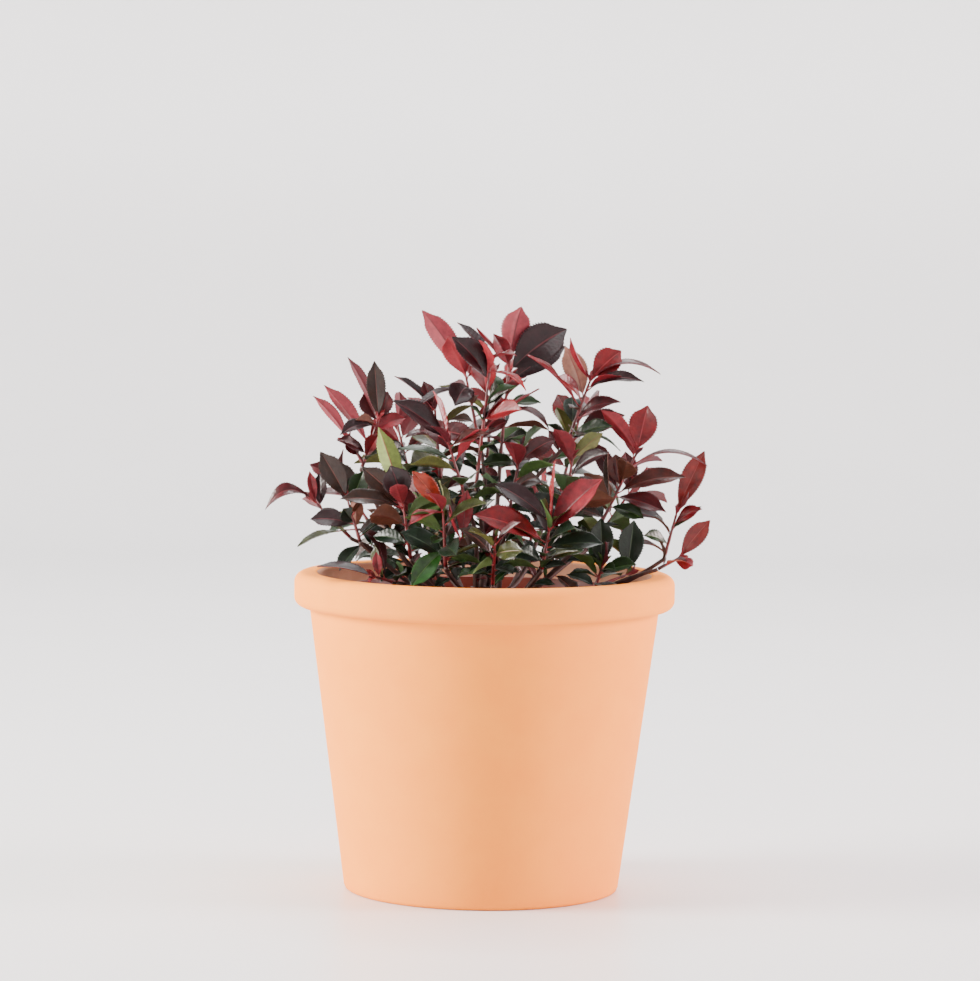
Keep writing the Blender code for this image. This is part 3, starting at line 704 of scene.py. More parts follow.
@dataclass
class GrowPot:
    """The thin nursery pot that holds the compost, in millimetres."""

    rim_radius: float = 95.5
    rim_depth: float = 6.0
    rim_under: tuple = ((0.4, 5.3), (0.0, 4.6))
    outer_round: float = 0.9
    inner_round: float = 0.6
    lip: float = 2.2
    wall: float = 1.6
    base_radius: float = 71.0
    top: float = 189.5
    stands_at: float = 11.3
    sides: int = 120
    ring_step: float = 6.0
    finish: Finish = GROW_PLASTIC

    def profile(self) -> list:
        """Draw the pot's section from the middle of its base round to the middle of its floor.

        Returns:
            Radius and height pairs.
        """
        inner = self.rim_radius - self.lip - self.wall
        floor = self.stands_at + self.wall
        outer_centre = (self.rim_radius - self.outer_round, self.top - self.outer_round)
        inner_centre = (inner + self.inner_round, self.top - self.inner_round)
        points = [(0, self.stands_at), (self.base_radius, self.stands_at),
                  (self.rim_radius - self.lip, self.top - self.rim_depth)]
        points += [(self.rim_radius - into, self.top - down) for into, down in self.rim_under]
        points += arc(outer_centre, self.outer_round, 0, 90, steps=5)
        points += arc(inner_centre, self.inner_round, 90, 180, steps=4)
        points += [(inner, self.top - self.rim_depth), (self.base_radius - self.wall, floor)]
        return points + [(0, floor)]

    def build(self) -> bpy.types.Object:
        """Build and dress the nursery pot.

        Returns:
            The piece that replaces the CAD grow pot.
        """
        mesh = lathe("nursery_pot", finer(self.profile(), self.ring_step), self.sides)
        piece = link_mesh("nursery_pot", mesh, [self.finish.make()])
        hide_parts("grow_pot")
        return piece


@dataclass
class Compost:
    """The crumbly bed inside the grow pot, in millimetres and shares of its edge's radius."""

    top: float = 172.0
    base: float = 13.2
    foot_radius: float = 68.8
    slope: float = 0.1309
    stem_clear: float = 17.5
    flat_reach: float = 2.5
    shoulder: float = 0.72
    shoulder_drop: float = 1.5
    edge_drop: float = 4.0
    skin: float = 6.0
    hollow_start: float = 8.0
    hollow_depth: float = 1.3
    hollow_swing: float = 1.2
    hollow_mm: float = 4.0
    hollow_fractal: tuple = (0.7, 2.2, 4)
    crumbs: int = 900
    crumb_mm: tuple = (0.9, 2.6)
    crumb_form: tuple = (0.65, 1.1)
    crumb_sink: float = 0.9
    crumb_inner: float = 3.0
    crumb_outer: float = 4.0
    sides: int = 140
    ring_step: float = 2.0
    finish: Finish = PEAT

    def relief(self, point: Vector) -> float:
        """Work out the bed's hollows: none on its sides and by the stem, deeper further out.

        Args:
            point: A point of the skin.

        Returns:
            The depth in millimetres.
        """
        if point.z < self.top - self.skin:
            return 0.0
        out = min(1.0, max(0.0, (math.hypot(point.x, point.y) - self.stem_clear) / self.hollow_start))
        swing = noise.fractal(point / self.hollow_mm, *self.hollow_fractal)
        return out * (self.hollow_depth + self.hollow_swing * swing)

    def fall(self, share: float) -> float:
        """Work out how far the bed lies below its top.

        Args:
            share: Distance from the axis as a share of the edge's radius.

        Returns:
            The fall in millimetres.
        """
        if share < self.shoulder:
            return self.shoulder_drop * (share / self.shoulder)
        drop = self.edge_drop - self.shoulder_drop
        return self.shoulder_drop + drop * (share - self.shoulder) / (1 - self.shoulder)

    def scatter(self, mesh: bpy.types.Mesh, edge: float) -> None:
        """Lay loose crumbs on the bed, sunk a little into it.

        Args:
            mesh: The bed's mesh, which gets the crumbs.
            edge: Radius of the bed's upper edge.
        """
        shape = bmesh.new()
        shape.from_mesh(mesh)
        draw = random.Random("crumbs")
        nearest = self.stem_clear + self.crumb_inner
        furthest = edge - self.crumb_outer
        for _ in range(self.crumbs):
            size = draw.uniform(*self.crumb_mm)
            reach = math.sqrt(draw.uniform(nearest ** 2, furthest ** 2))
            turn = draw.uniform(0, math.tau)
            height = self.top - self.fall(reach / edge) - self.crumb_sink
            place = Vector((reach * math.cos(turn), reach * math.sin(turn), height))
            made = bmesh.ops.create_icosphere(shape, subdivisions=1, radius=size / 2 * MM)
            for vert in made["verts"]:
                vert.co = vert.co * draw.uniform(*self.crumb_form) + place * MM
        shape.to_mesh(mesh)
        shape.free()

    def build(self) -> bpy.types.Object:
        """Build and dress the bed with its loose crumbs.

        Returns:
            The piece that replaces the CAD compost.
        """
        edge = self.foot_radius + self.slope * (self.top - self.edge_drop - self.base)
        profile = [(0, self.base), (self.foot_radius, self.base), (edge, self.top - self.edge_drop),
                   (edge * self.shoulder, self.top - self.shoulder_drop),
                   (self.stem_clear + self.flat_reach, self.top), (0, self.top)]
        mesh = lathe("compost_bed", finer(profile, self.ring_step), self.sides, self.relief)
        self.scatter(mesh, edge)
        piece = link_mesh("compost_bed", mesh, [self.finish.make()])
        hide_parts("compost")
        return piece


@dataclass
class Tubes:
    """Gathers many limbs of one kind into one mesh, in millimetres."""

    name: str
    sides: int
    rough: float
    relief_reach: float = 6.0
    relief_mm: float = 1.7
    verts: list = field(default_factory=list)
    faces: list = field(default_factory=list)

    def add(self, path: list, radii: list) -> None:
        """Add one limb, its bark pushed in from the radius by the kind's roughness.

        Args:
            path: Centre line.
            radii: Radius at each of its points.
        """
        base = len(self.verts)
        sides = self.sides
        across = (path[1] - path[0]).orthogonal().normalized()
        for k, centre in enumerate(path):
            ahead = (path[min(k + 1, len(path) - 1)] - path[max(k - 1, 0)]).normalized()
            across = (across - ahead * across.dot(ahead)).normalized()
            beside = ahead.cross(across)
            for s in range(sides):
                out = turned(across, beside, math.tau * s / sides)
                dent = 0.0
                if self.rough:
                    spot = (centre + out * self.relief_reach) / self.relief_mm
                    dent = self.rough * (1 + noise.noise(spot))
                self.verts.append((centre + out * (radii[k] - dent)) * MM)
        for k in range(len(path) - 1):
            for s in range(sides):
                here = base + k * sides + s
                side = base + k * sides + (s + 1) % sides
                self.faces.append((here, side, side + sides, here + sides))
        self.faces.append(tuple(base + s for s in reversed(range(sides))))
        self.faces.append(tuple(base + (len(path) - 1) * sides + s for s in range(sides)))

    def piece(self, bark: bpy.types.Material) -> bpy.types.Object:
        """Turn what was gathered into one riding piece of bark.

        Args:
            bark: The material of its surface.

        Returns:
            The piece.
        """
        mesh = bpy.data.meshes.new(self.name)
        mesh.from_pydata(self.verts, [], self.faces)
        return link_mesh(self.name, mesh, [bark])


@dataclass
class Limbs:
    """The short stem and the boughs that carry the shoots, in millimetres as in the source."""

    compost_top: float = 172.0
    stem_top: float = 191.0
    stem_steps: int = 24
    stem_sides: int = 72
    foot_radius: float = 15.0
    radius: float = 9.0
    flare_power: int = 5
    crack_turns: float = 6.0
    crack_mm: float = 5.0
    crack_depth: float = 0.35
    crack_swing: float = 0.45
    smooth_top: float = 0.3
    smooth_foot: float = 0.2
    crown_boughs: int = 5
    crown_weight: float = 1.4
    crown_ring: float = 5.6
    tiers: tuple = (176.4, 181.2, 186.0)
    root_spread: float = 0.8
    root_clear: float = 0.1
    spread_passes: int = 60
    bough_root: float = 2.1
    bough_tip: float = 1.35
    lead: float = 1.5
    end_clear: float = 0.05
    pull: float = 0.4
    least_steps: int = 12
    step_mm: float = 3.0
    bend_up: float = 0.3
    arrive_flat: float = 1.2
    bends: tuple = (0.0, 4.0, -4.0, 8.0, -8.0, 12.0, -12.0, 16.0, -16.0, 22.0, -22.0, 28.0, -28.0)
    finish: Finish = OLD_BARK
    skin: Tubes = field(default_factory=lambda: Tubes("bough_bark", sides=10, rough=0.16))
    paths: dict = field(default_factory=dict)

    def stem_radius(self, height: float) -> float:
        """Work out the radius of the short stem, flared at the compost.

        Args:
            height: Height above the pot's foot.

        Returns:
            The radius.
        """
        foot = self.compost_top + GAP
        rise = (height - foot) / (self.stem_top - foot)
        flare = (1 - min(1.0, max(0.0, rise))) ** self.flare_power
        return self.radius + (self.foot_radius - self.radius) * flare

    def stem_relief(self, point: Vector) -> float:
        """Work out the bark's cracks, which stop short of both cut ends.

        Args:
            point: A point of the stem's skin.

        Returns:
            The depth.
        """
        foot = self.compost_top + GAP
        if point.z > self.stem_top - self.smooth_top or point.z < foot + self.smooth_foot:
            return 0.0
        turn = math.atan2(point.y, point.x)
        ring = (math.cos(turn) * self.crack_turns, math.sin(turn) * self.crack_turns)
        return self.crack_depth + self.crack_swing * noise.noise(Vector((*ring, point.z / self.crack_mm)))

    def build_stem(self, bark: bpy.types.Material) -> bpy.types.Object:
        """Build the stem with cracked bark.

        Args:
            bark: The bark material shared with the boughs.

        Returns:
            The piece that replaces the CAD stem.
        """
        foot = self.compost_top + GAP
        heights = [foot + (self.stem_top - foot) * k / self.stem_steps for k in range(self.stem_steps + 1)]
        profile = [(0, foot)] + [(self.stem_radius(z), z) for z in heights] + [(0, self.stem_top)]
        mesh = lathe("stem_bark", profile, self.stem_sides, self.stem_relief)
        piece = link_mesh("stem_bark", mesh, [bark])
        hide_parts("stem")
        return piece

    def spread_turns(self, turns: list) -> list:
        """Push directions apart until the roots side by side no longer crowd.

        Args:
            turns: A ring's directions in radians, in order.

        Returns:
            The directions, spread.
        """
        turns = list(turns)
        least = self.root_spread * math.tau / len(turns)
        for _ in range(self.spread_passes):
            for k in range(len(turns)):
                after = (k + 1) % len(turns)
                apart = turns[after] - turns[k] + (math.tau if after == 0 else 0.0)
                push = max(0.0, least - apart) / 2
                turns[k] -= push
                turns[after] += push
        return turns

    def roots(self) -> dict:
        """Find where each bough leaves the stem: some on its top, the rest fanned in tiers.

        Returns:
            Shoot name to the root point and the direction in which the bough leaves.
        """
        order = sorted(SHOOTS, key=lambda shoot: shoot.off_axis() * self.crown_weight - shoot.foot[2])
        rest = sorted(order[self.crown_boughs:], key=lambda shoot: (shoot.foot[2], -shoot.off_axis()))
        size = math.ceil(len(rest) / len(self.tiers))
        groups = [order[:self.crown_boughs]]
        groups += [rest[k * size:(k + 1) * size] for k in range(len(self.tiers))]
        found = {}
        for group, height in zip(groups, (self.stem_top,) + self.tiers):
            ring = sorted(group, key=Shoot.bearing)
            turns = self.spread_turns([shoot.bearing() for shoot in ring])
            for shoot, turn in zip(ring, turns):
                out = Vector((math.cos(turn), math.sin(turn), 0))
                if height == self.stem_top:
                    found[shoot.name] = (out * self.crown_ring + UP * (self.stem_top + GAP), UP.copy())
                else:
                    reach = self.stem_radius(height - self.bough_root) + GAP + self.root_clear
                    found[shoot.name] = (out * reach + UP * height, out)
        return found

    def path(self, shoot: Shoot, root: Vector, leave: Vector, bend: float) -> list:
        """Draw the centre line of a bough, from the stem to a gap short of its shoot.

        Args:
            shoot: The shoot that the bough carries.
            root: Where the bough starts.
            leave: The direction in which it starts.
            bend: How far it is bent sideways and up.

        Returns:
            Its points.
        """
        foot = Vector(shoot.foot)
        along = (Vector(shoot.tip) - foot).normalized()
        end = foot - along * (GAP + self.end_clear)
        last = end - along * self.lead
        span = last - root
        flat = Vector((span.x, span.y, 0)) / span.length
        reach = span.length * self.pull
        steps = max(self.least_steps, round(span.length / self.step_mm))
        aside = (UP.cross(span).normalized() + UP * self.bend_up) * bend
        arrive = last - (along + flat * self.arrive_flat).normalized() * reach
        points = (root, root + leave * reach + aside, arrive + aside, last)
        curve = [bezier(points, k / steps) for k in range(1, steps + 1)]
        return [root, root + leave * self.lead] + curve + [end]

    def fitted_path(self, shoot: Shoot, root: Vector, leave: Vector) -> list:
        """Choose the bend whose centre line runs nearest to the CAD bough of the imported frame.

        Args:
            shoot: The shoot that the bough carries.
            root: Where the bough starts.
            leave: The direction in which it starts.

        Returns:
            The points of that centre line.
        """
        tree = search_tree([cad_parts["bough_" + shoot.name].data])
        trials = [self.path(shoot, root, leave, bend) for bend in self.bends]
        return min(trials, key=lambda path: max(tree.find_nearest(p)[3] for p in path))

    def build(self) -> list:
        """Build the stem and all boughs.

        Returns:
            The two pieces, stem and boughs.
        """
        bark = self.finish.make()
        roots = self.roots()
        for shoot in SHOOTS:
            path = self.fitted_path(shoot, *roots[shoot.name])
            self.paths[shoot.name] = path
            self.skin.add(path, taper(self.bough_root, self.bough_tip, len(path) - 1))
        boughs = self.skin.piece(bark)
        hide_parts(*["bough_" + shoot.name for shoot in SHOOTS])
        return [self.build_stem(bark), boughs]


@dataclass
class BladeShape:
    """The form of one leaf blade, in millimetres and shares of its length or half width."""

    fold: float = math.radians(18)
    cup: float = 1.15
    stalk_share: float = 0.09
    station_mm: float = 0.85
    least_stations: int = 14
    thickness: float = 0.28
    edge_thickness: float = 1.05
    tooth: float = 0.055
    tooth_from: float = 0.95
    tooth_until: float = 0.97
    vein_mm: float = 3.3
    vein_slant: float = 0.75
    quilt: float = 0.38
    quilt_edge: float = 1.15
    quilt_gain: float = 2.4
    wave_mm: tuple = (0.1, 0.5)
    wave_count: tuple = (1.2, 2.4)
    twist: float = 0.22
    twist_middle: float = 0.4
    groove: float = 0.16
    rib_reach: float = 0.1
    rib_height: float = 0.3
    front_tip: float = 0.25
    skew: float = 1.15
    fullness: float = 0.72
    point_start: float = 0.8
    point_length: float = 0.2
    point_narrow: float = 0.42
    least_half: float = 0.012
    columns: tuple = (-1.0, -0.86, -0.62, -0.36, -0.14, -0.045, 0.045, 0.14, 0.36, 0.62, 0.86, 1.0)

    def half_width(self, share: np.ndarray) -> np.ndarray:
        """Work out the outline, drawn out to a fine tip.

        Args:
            share: Places along the blade from 0 to 1.

        Returns:
            Half widths as shares of the widest.
        """
        body = np.sin(np.pi * np.clip(share, 0, 1) ** self.skew) ** self.fullness
        point = np.clip((share - self.point_start) / self.point_length, 0, 1)
        return body * (1 - self.point_narrow * point * (2 - point)) + self.least_half

    def grid(self, blade: Blade, draw: random.Random) -> tuple:
        """Work out the blade's upper and lower points, station by station from its root.

        Args:
            blade: The leaf as it grows.
            draw: The random source of its wave and twist.

        Returns:
            The upper points and the lower points.
        """
        length = blade.reach.length
        facing = blade.facing
        if facing == Vector(Facing.UP.value):
            facing = facing + Vector((0, -self.front_tip, 0))
        normal = blade.squared(facing)
        side = blade.along().cross(normal)
        count = max(self.least_stations, round(length * (1 - self.stalk_share) / self.station_mm))
        u = np.linspace(0, 1, count + 1)[:, None]
        v = np.array(self.columns)[None, :]
        share = self.stalk_share + (1 - self.stalk_share) * u
        zigzag = np.where(np.arange(count + 1) % 2, 1, -1)[:, None]
        teeth = 1 + self.tooth * zigzag * (np.abs(v) > self.tooth_from) * (u < self.tooth_until)
        half = blade.width / 2 * self.half_width(u) * teeth
        phase = u * length / self.vein_mm - np.abs(v) * half * self.vein_slant / self.vein_mm
        bulge = np.abs(v) * (self.quilt_edge - np.abs(v)) * self.quilt_gain
        bulge = bulge * (0.5 + 0.5 * np.cos(2 * np.pi * phase))
        wave = draw.uniform(*self.wave_mm) * np.sin(
            2 * np.pi * (u * draw.uniform(*self.wave_count) + draw.random()) + v)
        rise = np.abs(v) ** self.cup * half * math.tan(self.fold) + self.quilt * bulge + wave * v ** 2
        rise = rise - self.groove * (np.abs(v) < self.rib_reach)
        twist = draw.uniform(-self.twist, self.twist) * (u - self.twist_middle)
        sideways = v * half * np.cos(twist) - rise * np.sin(twist)
        upward = rise * np.cos(twist) + v * half * np.sin(twist)
        row = np.array(blade.foot)[None, None, :] + share[..., None] * np.array(blade.reach)
        row = row + blade.bow(share)[..., None] * np.array(blade.lift())
        upper = row + sideways[..., None] * np.array(side) + upward[..., None] * np.array(normal)
        rib = self.rib_height * (np.abs(v) < self.rib_reach) * (1 - u)
        thick = self.thickness * np.sqrt(np.clip(self.edge_thickness - v ** 2, 0, 1)) + rib
        return upper, upper - np.array(normal) * thick[..., None]


@dataclass
class LeafHeap:
    """All leaves of one tint, gathered into one mesh with upper, under and midrib faces."""

    tint: Tint
    verts: list = field(default_factory=list)
    faces: list = field(default_factory=list)
    sides: list = field(default_factory=list)
    count: int = 0

    def put(self, face: tuple, side: Side) -> None:
        """Add one face and the side of the leaf that it belongs to."""
        self.faces.append(face)
        self.sides.append(side)

    def add(self, upper: np.ndarray, lower: np.ndarray) -> None:
        """Add one blade.

        Args:
            upper: Points of the upper side, station by station.
            lower: Points of the lower side.
        """
        rows, columns = upper.shape[:2]
        base = self.count
        size = rows * columns
        self.verts.append(np.concatenate([upper.reshape(-1, 3), lower.reshape(-1, 3)]) * MM)
        self.count += 2 * size
        middle = columns // 2 - 1
        for k in range(rows - 1):
            for c in range(columns - 1):
                a = base + k * columns + c
                b = a + size
                self.put((a, a + columns, a + columns + 1, a + 1), Side.RIB if c == middle else Side.UPPER)
                self.put((b, b + 1, b + columns + 1, b + columns), Side.RIB if c == middle else Side.UNDER)
            for c, flip in ((0, False), (columns - 1, True)):
                a = base + k * columns + c
                ring = (a, a + size, a + size + columns, a + columns)
                self.put(ring[::-1] if flip else ring, Side.UNDER)
        for k in (0, rows - 1):
            for c in range(columns - 1):
                a = base + k * columns + c
                ring = (a, a + 1, a + 1 + size, a + size)
                self.put(ring if k == 0 else ring[::-1], Side.UNDER)

    def piece(self) -> bpy.types.Object:
        """Turn the heap into one riding piece with its three materials.

        Returns:
            The piece.
        """
        plain = self.tint.name.lower()
        name = f"leaves_{plain}"
        mesh = bpy.data.meshes.new(name)
        mesh.from_pydata(np.concatenate(self.verts), [], self.faces)
        mesh.polygons.foreach_set("material_index", self.sides)
        return link_mesh(name, mesh, self.tint.value.make(plain))


@dataclass
class ShootLeaves:
    """A shoot's leaves by the rule of the part's source: the placed ones, then a seeded spiral."""

    turn_stray: float = 0.25
    opening: float = 98.0
    opening_fall: float = 60.0
    opening_stray: float = 9.0
    length_ends: float = 0.82
    length_swell: float = 0.3
    length_stray: tuple = (0.9, 1.1)
    width_share: tuple = (0.42, 0.52)
    arch_share: tuple = (0.04, 0.10)
    facing_ahead: float = 0.8
    first_place: float = 0.06
    place_span: float = 0.92

    def placed(self, shoot: Shoot) -> Iterator[Blade]:
        """Turn the listed leaves into blades.

        Args:
            shoot: The shoot.

        Returns:
            The leaves one by one.
        """
        lines = shoot.lines()
        for leaf in shoot.leaves:
            on_side_twig = leaf.at > 1.0
            start, reach = lines[int(on_side_twig)]
            foot = start + reach * (leaf.at - 1.0 if on_side_twig else leaf.at)
            facing = Vector(leaf.facing.value)
            yield Blade(foot, Vector(leaf.reach), leaf.width, facing, leaf.arch, leaf.tint)

    def spiral(self, shoot: Shoot) -> Iterator[Blade]:
        """Grow the other leaves: spreading at the twig's foot, upright at its tip.

        Args:
            shoot: The shoot.

        Returns:
            The leaves one by one, with tints by age.
        """
        draw = random.Random(shoot.name)
        choose = random.Random(shoot.name + " tint")
        start, reach = shoot.lines()[0]
        axis = reach.normalized()
        across, beside = side_axes(axis)
        ages = shoot.shade.value
        phase = draw.uniform(0, math.tau)
        for k in range(shoot.extra):
            share = (k + 0.5) / shoot.extra
            turn = phase + k * GOLDEN_ANGLE + draw.uniform(-self.turn_stray, self.turn_stray)
            stray = draw.uniform(-self.opening_stray, self.opening_stray)
            opening = math.radians(self.opening - self.opening_fall * share + stray)
            swell = self.length_ends + self.length_swell * math.sin(math.pi * share)
            length = shoot.leaf_length * swell * draw.uniform(*self.length_stray)
            aim = turned(axis, turned(across, beside, turn), opening)
            width = length * draw.uniform(*self.width_share)
            arch = length * draw.uniform(*self.arch_share)
            facing = axis * self.facing_ahead + across * draw.uniform(-1, 1) + beside * draw.uniform(-1, 1)
            tint = choose.choice(ages[int(share * len(ages))])
            foot = start + reach * (self.first_place + self.place_span * share)
            yield Blade(foot, aim * length, width, facing, arch, tint)


@dataclass
class TipBunch:
    """The small unopened leaves at a twig's tip, in millimetres, degrees and shares."""

    leaves: int = 4
    length_mm: tuple = (6.0, 11.0)
    turn_stray: float = 0.3
    opening: tuple = (14.0, 42.0)
    place: tuple = (0.93, 0.99)
    width_share: float = 0.34
    arch: float = 0.5

    def grow(self, start: Vector, reach: Vector, shade: Shade, draw: random.Random) -> Iterator[Blade]:
        """Grow the bunch of one twig.

        Args:
            start: The twig's foot.
            reach: The twig's reach.
            shade: The shoot's age.
            draw: The shoot's random source.

        Returns:
            The small leaves one by one.
        """
        axis = reach.normalized()
        across, beside = side_axes(axis)
        for k in range(self.leaves):
            turn = k * GOLDEN_ANGLE + draw.uniform(-self.turn_stray, self.turn_stray)
            outward = turned(across, beside, turn)
            length = draw.uniform(*self.length_mm)
            aim = turned(axis, outward, math.radians(draw.uniform(*self.opening)))
            tint = draw.choice(shade.value[-1])
            foot = start + reach * draw.uniform(*self.place)
            yield Blade(foot, aim * length, length * self.width_share, axis - outward, self.arch, tint)


@dataclass
class OldLeaves:
    """The dark old leaves in the middle of the crown, along the boughs and twigs, in millimetres."""

    length_mm: tuple = (13.0, 24.0)
    step: float = 6.0
    clear: float = 1.4
    apart: float = 2.6
    furthest: float = 78.0
    lowest: float = 196.0
    twig_steps: int = 8
    twig_last: int = 6
    trials: int = 3
    shrink: float = 0.18
    ahead: tuple = (0.1, 0.8)
    tilt: float = 0.3
    facing_up: float = 0.8
    facing_front: float = 0.5
    facing_stray: float = 0.5
    width_share: tuple = (0.44, 0.54)
    arch_share: float = 0.07
    spots: tuple = (0.35, 0.5, 0.65, 0.8, 1.0)
    tints: tuple = (Tint.DEEP, Tint.DEEP, Tint.GREEN, Tint.DEEP, Tint.BRONZE, Tint.MAROON)

    def joints(self, paths: dict, draw: random.Random) -> Iterator[tuple]:
        """Walk along every bough and its twig and stop where a leaf may grow.

        Args:
            paths: Centre line of each bough by shoot name.
            draw: The random source.

        Returns:
            The place, the limb's direction and the direction away from it, one by one.
        """
        for shoot in SHOOTS:
            foot = Vector(shoot.foot)
            tip = Vector(shoot.tip)
            twig = [foot.lerp(tip, k / self.twig_steps) for k in range(1, self.twig_last + 1)]
            line = paths[shoot.name] + twig
            travelled = 0.0
            turn = draw.uniform(0, math.tau)
            for here, after in zip(line, line[1:]):
                travelled += (after - here).length
                if travelled < self.step or here.z < self.lowest:
                    continue
                if Vector((here.x, here.y, 0)).length > self.furthest:
                    continue
                travelled = 0.0
                turn += GOLDEN_ANGLE
                axis = (after - here).normalized()
                yield here, axis, turned(*side_axes(axis), turn)

    def try_leaf(self, here: Vector, axis: Vector, outward: Vector, size: float,
                 draw: random.Random) -> tuple:
        """Draw one leaf that may be grown.

        Args:
            here: Where it would grow.
            axis: The limb's direction.
            outward: The direction away from the limb.
            size: How much of the drawn length it gets.
            draw: The random source.

        Returns:
            The leaf and the spots along it that have to be free.
        """
        length = draw.uniform(*self.length_mm) * size
        aim = outward + axis * draw.uniform(*self.ahead) + UP * draw.uniform(-self.tilt, self.tilt)
        aim = aim.normalized()
        stray = outward * draw.uniform(-self.facing_stray, self.facing_stray)
        facing = (UP * self.facing_up + Vector((0, -self.facing_front, 0)) + stray).normalized()
        tint = draw.choice(self.tints)
        width = length * draw.uniform(*self.width_share)
        blade = Blade(here, aim * length, width, facing, length * self.arch_share, tint)
        return blade, [here + aim * (length * share) for share in self.spots]

    def grow(self, paths: dict, everything: BVHTree) -> Iterator[Blade]:
        """Grow the old leaves.

        Args:
            paths: Centre line of each bough by shoot name.
            everything: Search tree of all solids, which these leaves stay clear of.

        Returns:
            The leaves whose spots are clear of the solids and of each other, one by one.
        """
        draw = random.Random("old leaves")
        taken: list = []
        for here, axis, outward in self.joints(paths, draw):
            for trial in range(self.trials):
                blade, spots = self.try_leaf(here, axis, outward, 1 - self.shrink * trial, draw)
                if min(everything.find_nearest(spot)[3] for spot in spots) < self.clear:
                    continue
                if any((spot - other).length < self.apart for spot in spots for other in taken):
                    continue
                taken += spots
                yield blade
                break


@dataclass
class Foliage:
    """The leafy shoots: twigs, leaf stalks and leaves, gathered by kind and tint, in millimetres.

    A probe is a share of a leaf's length with the two stations of the CAD leaf that it lies between.
    """

    twig_root: float = 1.25
    twig_tip: float = 0.7
    twig_end: float = 0.3
    twig_step: float = 2.0
    least_steps: int = 8
    knot: float = 0.14
    knot_every: int = 4
    stalk_radius: float = 0.5
    stalk_form: tuple = (1.25, 0.95, 0.8, 0.35)
    stalk_full: float = 22.0
    stalk_into: int = 2
    near: float = 1.1
    probes: tuple = ((0.45, 0.30, 0.66), (0.66, 0.30, 0.66), (0.9, 0.66, 1.0))
    shape: BladeShape = field(default_factory=BladeShape)
    rule: ShootLeaves = field(default_factory=ShootLeaves)
    tips: TipBunch = field(default_factory=TipBunch)
    old: OldLeaves = field(default_factory=OldLeaves)
    twigs: Tubes = field(default_factory=lambda: Tubes("twigs", sides=9, rough=0.04))
    stalks: Tubes = field(default_factory=lambda: Tubes("leaf_stalks", sides=8, rough=0.0))
    heaps: dict = field(default_factory=dict)
    kept: int = 0

    def in_frame(self, blade: Blade, tree: BVHTree) -> bool:
        """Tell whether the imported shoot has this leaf, by how near its middle line runs.

        Args:
            blade: The leaf.
            tree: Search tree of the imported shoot.

        Returns:
            True where each probe lies on the solid.
        """
        lift = blade.lift()
        for share, low, high in self.probes:
            blend = (share - low) / (high - low)
            bow = blade.bow(low) * (1 - blend) + blade.bow(high) * blend
            if tree.find_nearest(blade.foot + blade.reach * share + lift * bow)[3] > self.near:
                return False
        return True

    def grow_leaf(self, blade: Blade, draw: random.Random) -> None:
        """Add one leaf with its stalk.

        Args:
            blade: The leaf.
            draw: The random source of its form.
        """
        heap = self.heaps.setdefault(blade.tint, LeafHeap(blade.tint))
        upper, lower = self.shape.grid(blade, draw)
        heap.add(upper, lower)
        half = upper.shape[1] // 2
        middle = (upper[:, half] + lower[:, half - 1]) / 2
        size = min(1.0, blade.reach.length / self.stalk_full)
        base = Vector(middle[0])
        path = [blade.foot, blade.foot.lerp(base, 0.5), base, Vector(middle[self.stalk_into])]
        self.stalks.add(path, [self.stalk_radius * size * part for part in self.stalk_form])
        self.kept += 1

    def grow_twig(self, start: Vector, reach: Vector) -> None:
        """Add one twig with its small knots.

        Args:
            start: The twig's foot.
            reach: The twig's reach.
        """
        steps = max(self.least_steps, round(reach.length / self.twig_step))
        radii = taper(self.twig_root, self.twig_tip, steps)
        for k in range(self.knot_every // 2, steps, self.knot_every):
            radii[k] += self.knot
        radii[-1] = self.twig_end
        self.twigs.add([start + reach * k / steps for k in range(steps + 1)], radii)

    def build(self, paths: dict) -> list:
        """Grow every shoot again and join what is grown, each kind apart.

        Args:
            paths: Centre line of each bough by shoot name.

        Returns:
            The pieces: twigs, stalks and one heap of leaves for each tint.
        """
        everything = search_tree([node.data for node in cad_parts.values()])
        draw = random.Random("old leaf forms")
        for blade in self.old.grow(paths, everything):
            self.grow_leaf(blade, draw)
        for shoot in SHOOTS:
            tree = search_tree([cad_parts["foliage_" + shoot.name].data])
            draw = random.Random(shoot.name + " finer")
            for start, reach in shoot.lines():
                self.grow_twig(start, reach)
                for blade in self.tips.grow(start, reach, shoot.shade, draw):
                    self.grow_leaf(blade, draw)
            for blade in (*self.rule.placed(shoot), *self.rule.spiral(shoot)):
                if self.in_frame(blade, tree):
                    self.grow_leaf(blade, draw)
        pieces = [self.twigs.piece(YOUNG_BARK.make()), self.stalks.piece(STALK_SKIN.make())]
        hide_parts(*["foliage_" + shoot.name for shoot in SHOOTS])
        return pieces + [heap.piece() for heap in self.heaps.values()]


@dataclass(frozen=True)
class Lamp:
    """One soft square light in the studio, in metres and watts, and the point that it faces."""

    name: str
    place: tuple
    size: float
    watts: float
    colour: str
    aim: tuple = (0.0, 0.0, 0.2)

    def hang(self) -> None:
        """Put the light in the scene."""
        lamp = bpy.data.lights.new(self.name, "AREA")
        lamp.size = self.size
        lamp.energy = self.watts
        lamp.color = linear(self.colour)[:3]
        thing = bpy.data.objects.new(self.name, lamp)
        thing.location = self.place
        thing.rotation_euler = (Vector(self.aim) - Vector(self.place)).to_track_quat("-Z", "Y").to_euler()
        bpy.context.scene.collection.objects.link(thing)


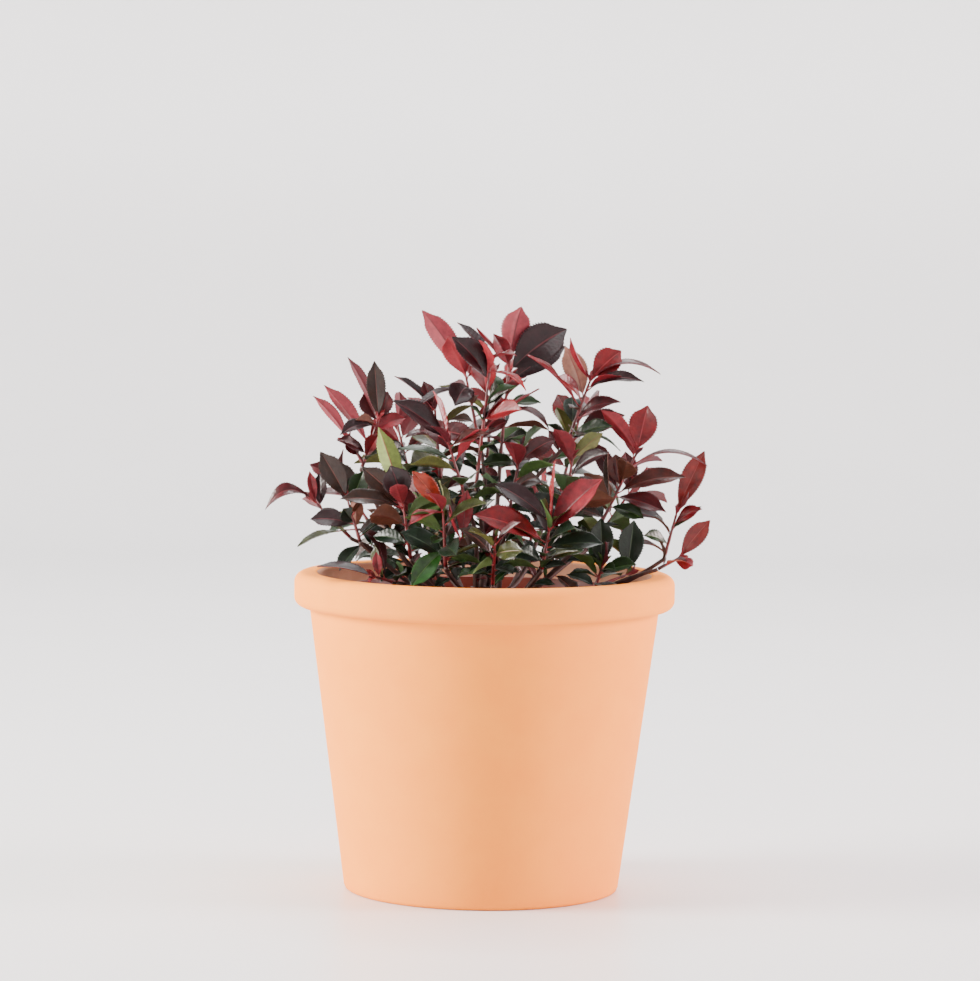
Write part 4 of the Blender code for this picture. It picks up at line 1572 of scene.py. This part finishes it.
# A soft key from the left, a pink fill from the right, a wide light above and one on the backdrop.
LAMPS = (
    Lamp("key", (-2.25, -0.4, 0.95), 1.0, 205.0, "#fffaf2"),
    Lamp("fill", (2.3, -0.1, 0.85), 0.9, 135.0, "#ffe6e6"),
    Lamp("top", (0.0, 0.1, 2.7), 2.4, 90.0, "#ffffff"),
    Lamp("backdrop", (0.0, 1.3, 2.9), 1.2, 95.0, "#ffffff", (0.0, 3.5, 0.9)),
)


@dataclass
class Studio:
    """The pale sweep, the lights and the camera, in metres, degrees and pixels."""

    floor_radius: float = 2.5
    sweep_bend: float = 1.0
    sweep_height: float = 3.2
    sweep_sides: int = 128
    room_colour: str = "#f2f3f5"
    room_strength: float = 0.1
    camera_place: tuple = (0.0026, -2.3, 0.4023)
    camera_pitch: float = 3.74
    camera_roll: float = 0.75
    sensor_mm: float = 36.0
    focal_pixels: float = 3658.8
    frame_pixels: float = 981.0
    finish: Finish = PAPER

    def build_sweep(self) -> bpy.types.Object:
        """Build the round floor that bends up into a backdrop on every side.

        Returns:
            The stage piece.
        """
        centre = (self.floor_radius, self.sweep_bend)
        profile = [(0.0, 0.0)] + arc(centre, self.sweep_bend, -90, 0, steps=20)
        profile.append((self.floor_radius + self.sweep_bend, self.sweep_height))
        mesh = lathe("sweep", [(r / MM, z / MM) for r, z in profile], self.sweep_sides)
        mesh.flip_normals()
        mesh.shade_smooth()
        mesh.materials.append(self.finish.make())
        sweep = bpy.data.objects.new("sweep", mesh)
        bpy.context.scene.collection.objects.link(sweep)
        return sweep

    def build_lights(self) -> None:
        """Hang the lamps and fill the room with a faint pale light."""
        for lamp in LAMPS:
            lamp.hang()
        world = bpy.data.worlds.new("studio room")
        world.use_nodes = True
        inputs = world.node_tree.nodes["Background"].inputs
        inputs["Color"].default_value = linear(self.room_colour)
        inputs["Strength"].default_value = self.room_strength
        bpy.context.scene.world = world

    def build_camera(self) -> None:
        """Stand the camera where the photograph was taken from."""
        lens = bpy.data.cameras.new("camera")
        lens.sensor_width = self.sensor_mm
        lens.lens = self.sensor_mm * self.focal_pixels / self.frame_pixels
        camera = bpy.data.objects.new("camera", lens)
        aim = Euler((math.radians(90 - self.camera_pitch), 0, 0)).to_matrix().to_4x4()
        roll = Matrix.Rotation(math.radians(self.camera_roll), 4, "Z")
        camera.matrix_world = Matrix.Translation(self.camera_place) @ aim @ roll
        bpy.context.scene.collection.objects.link(camera)
        bpy.context.scene.camera = camera

    def build(self) -> None:
        """Build the whole studio."""
        self.build_sweep()
        self.build_lights()
        self.build_camera()


def main() -> None:
    """Build the studio, the pots, the limbs and the foliage."""
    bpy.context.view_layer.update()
    Studio().build()
    for maker in (ClayPot(), GrowPot(), Compost()):
        log.info("built %s", maker.build().name)
    limbs = Limbs()
    for piece in limbs.build():
        log.info("built %s", piece.name)
    foliage = Foliage()
    for piece in foliage.build(limbs.paths):
        log.info("built %s with %d faces", piece.name, len(piece.data.polygons))
    log.info("kept %d leaves", foliage.kept)


if __name__ == "__main__":
    logging.basicConfig(level=logging.INFO, format="%(message)s")
    main()
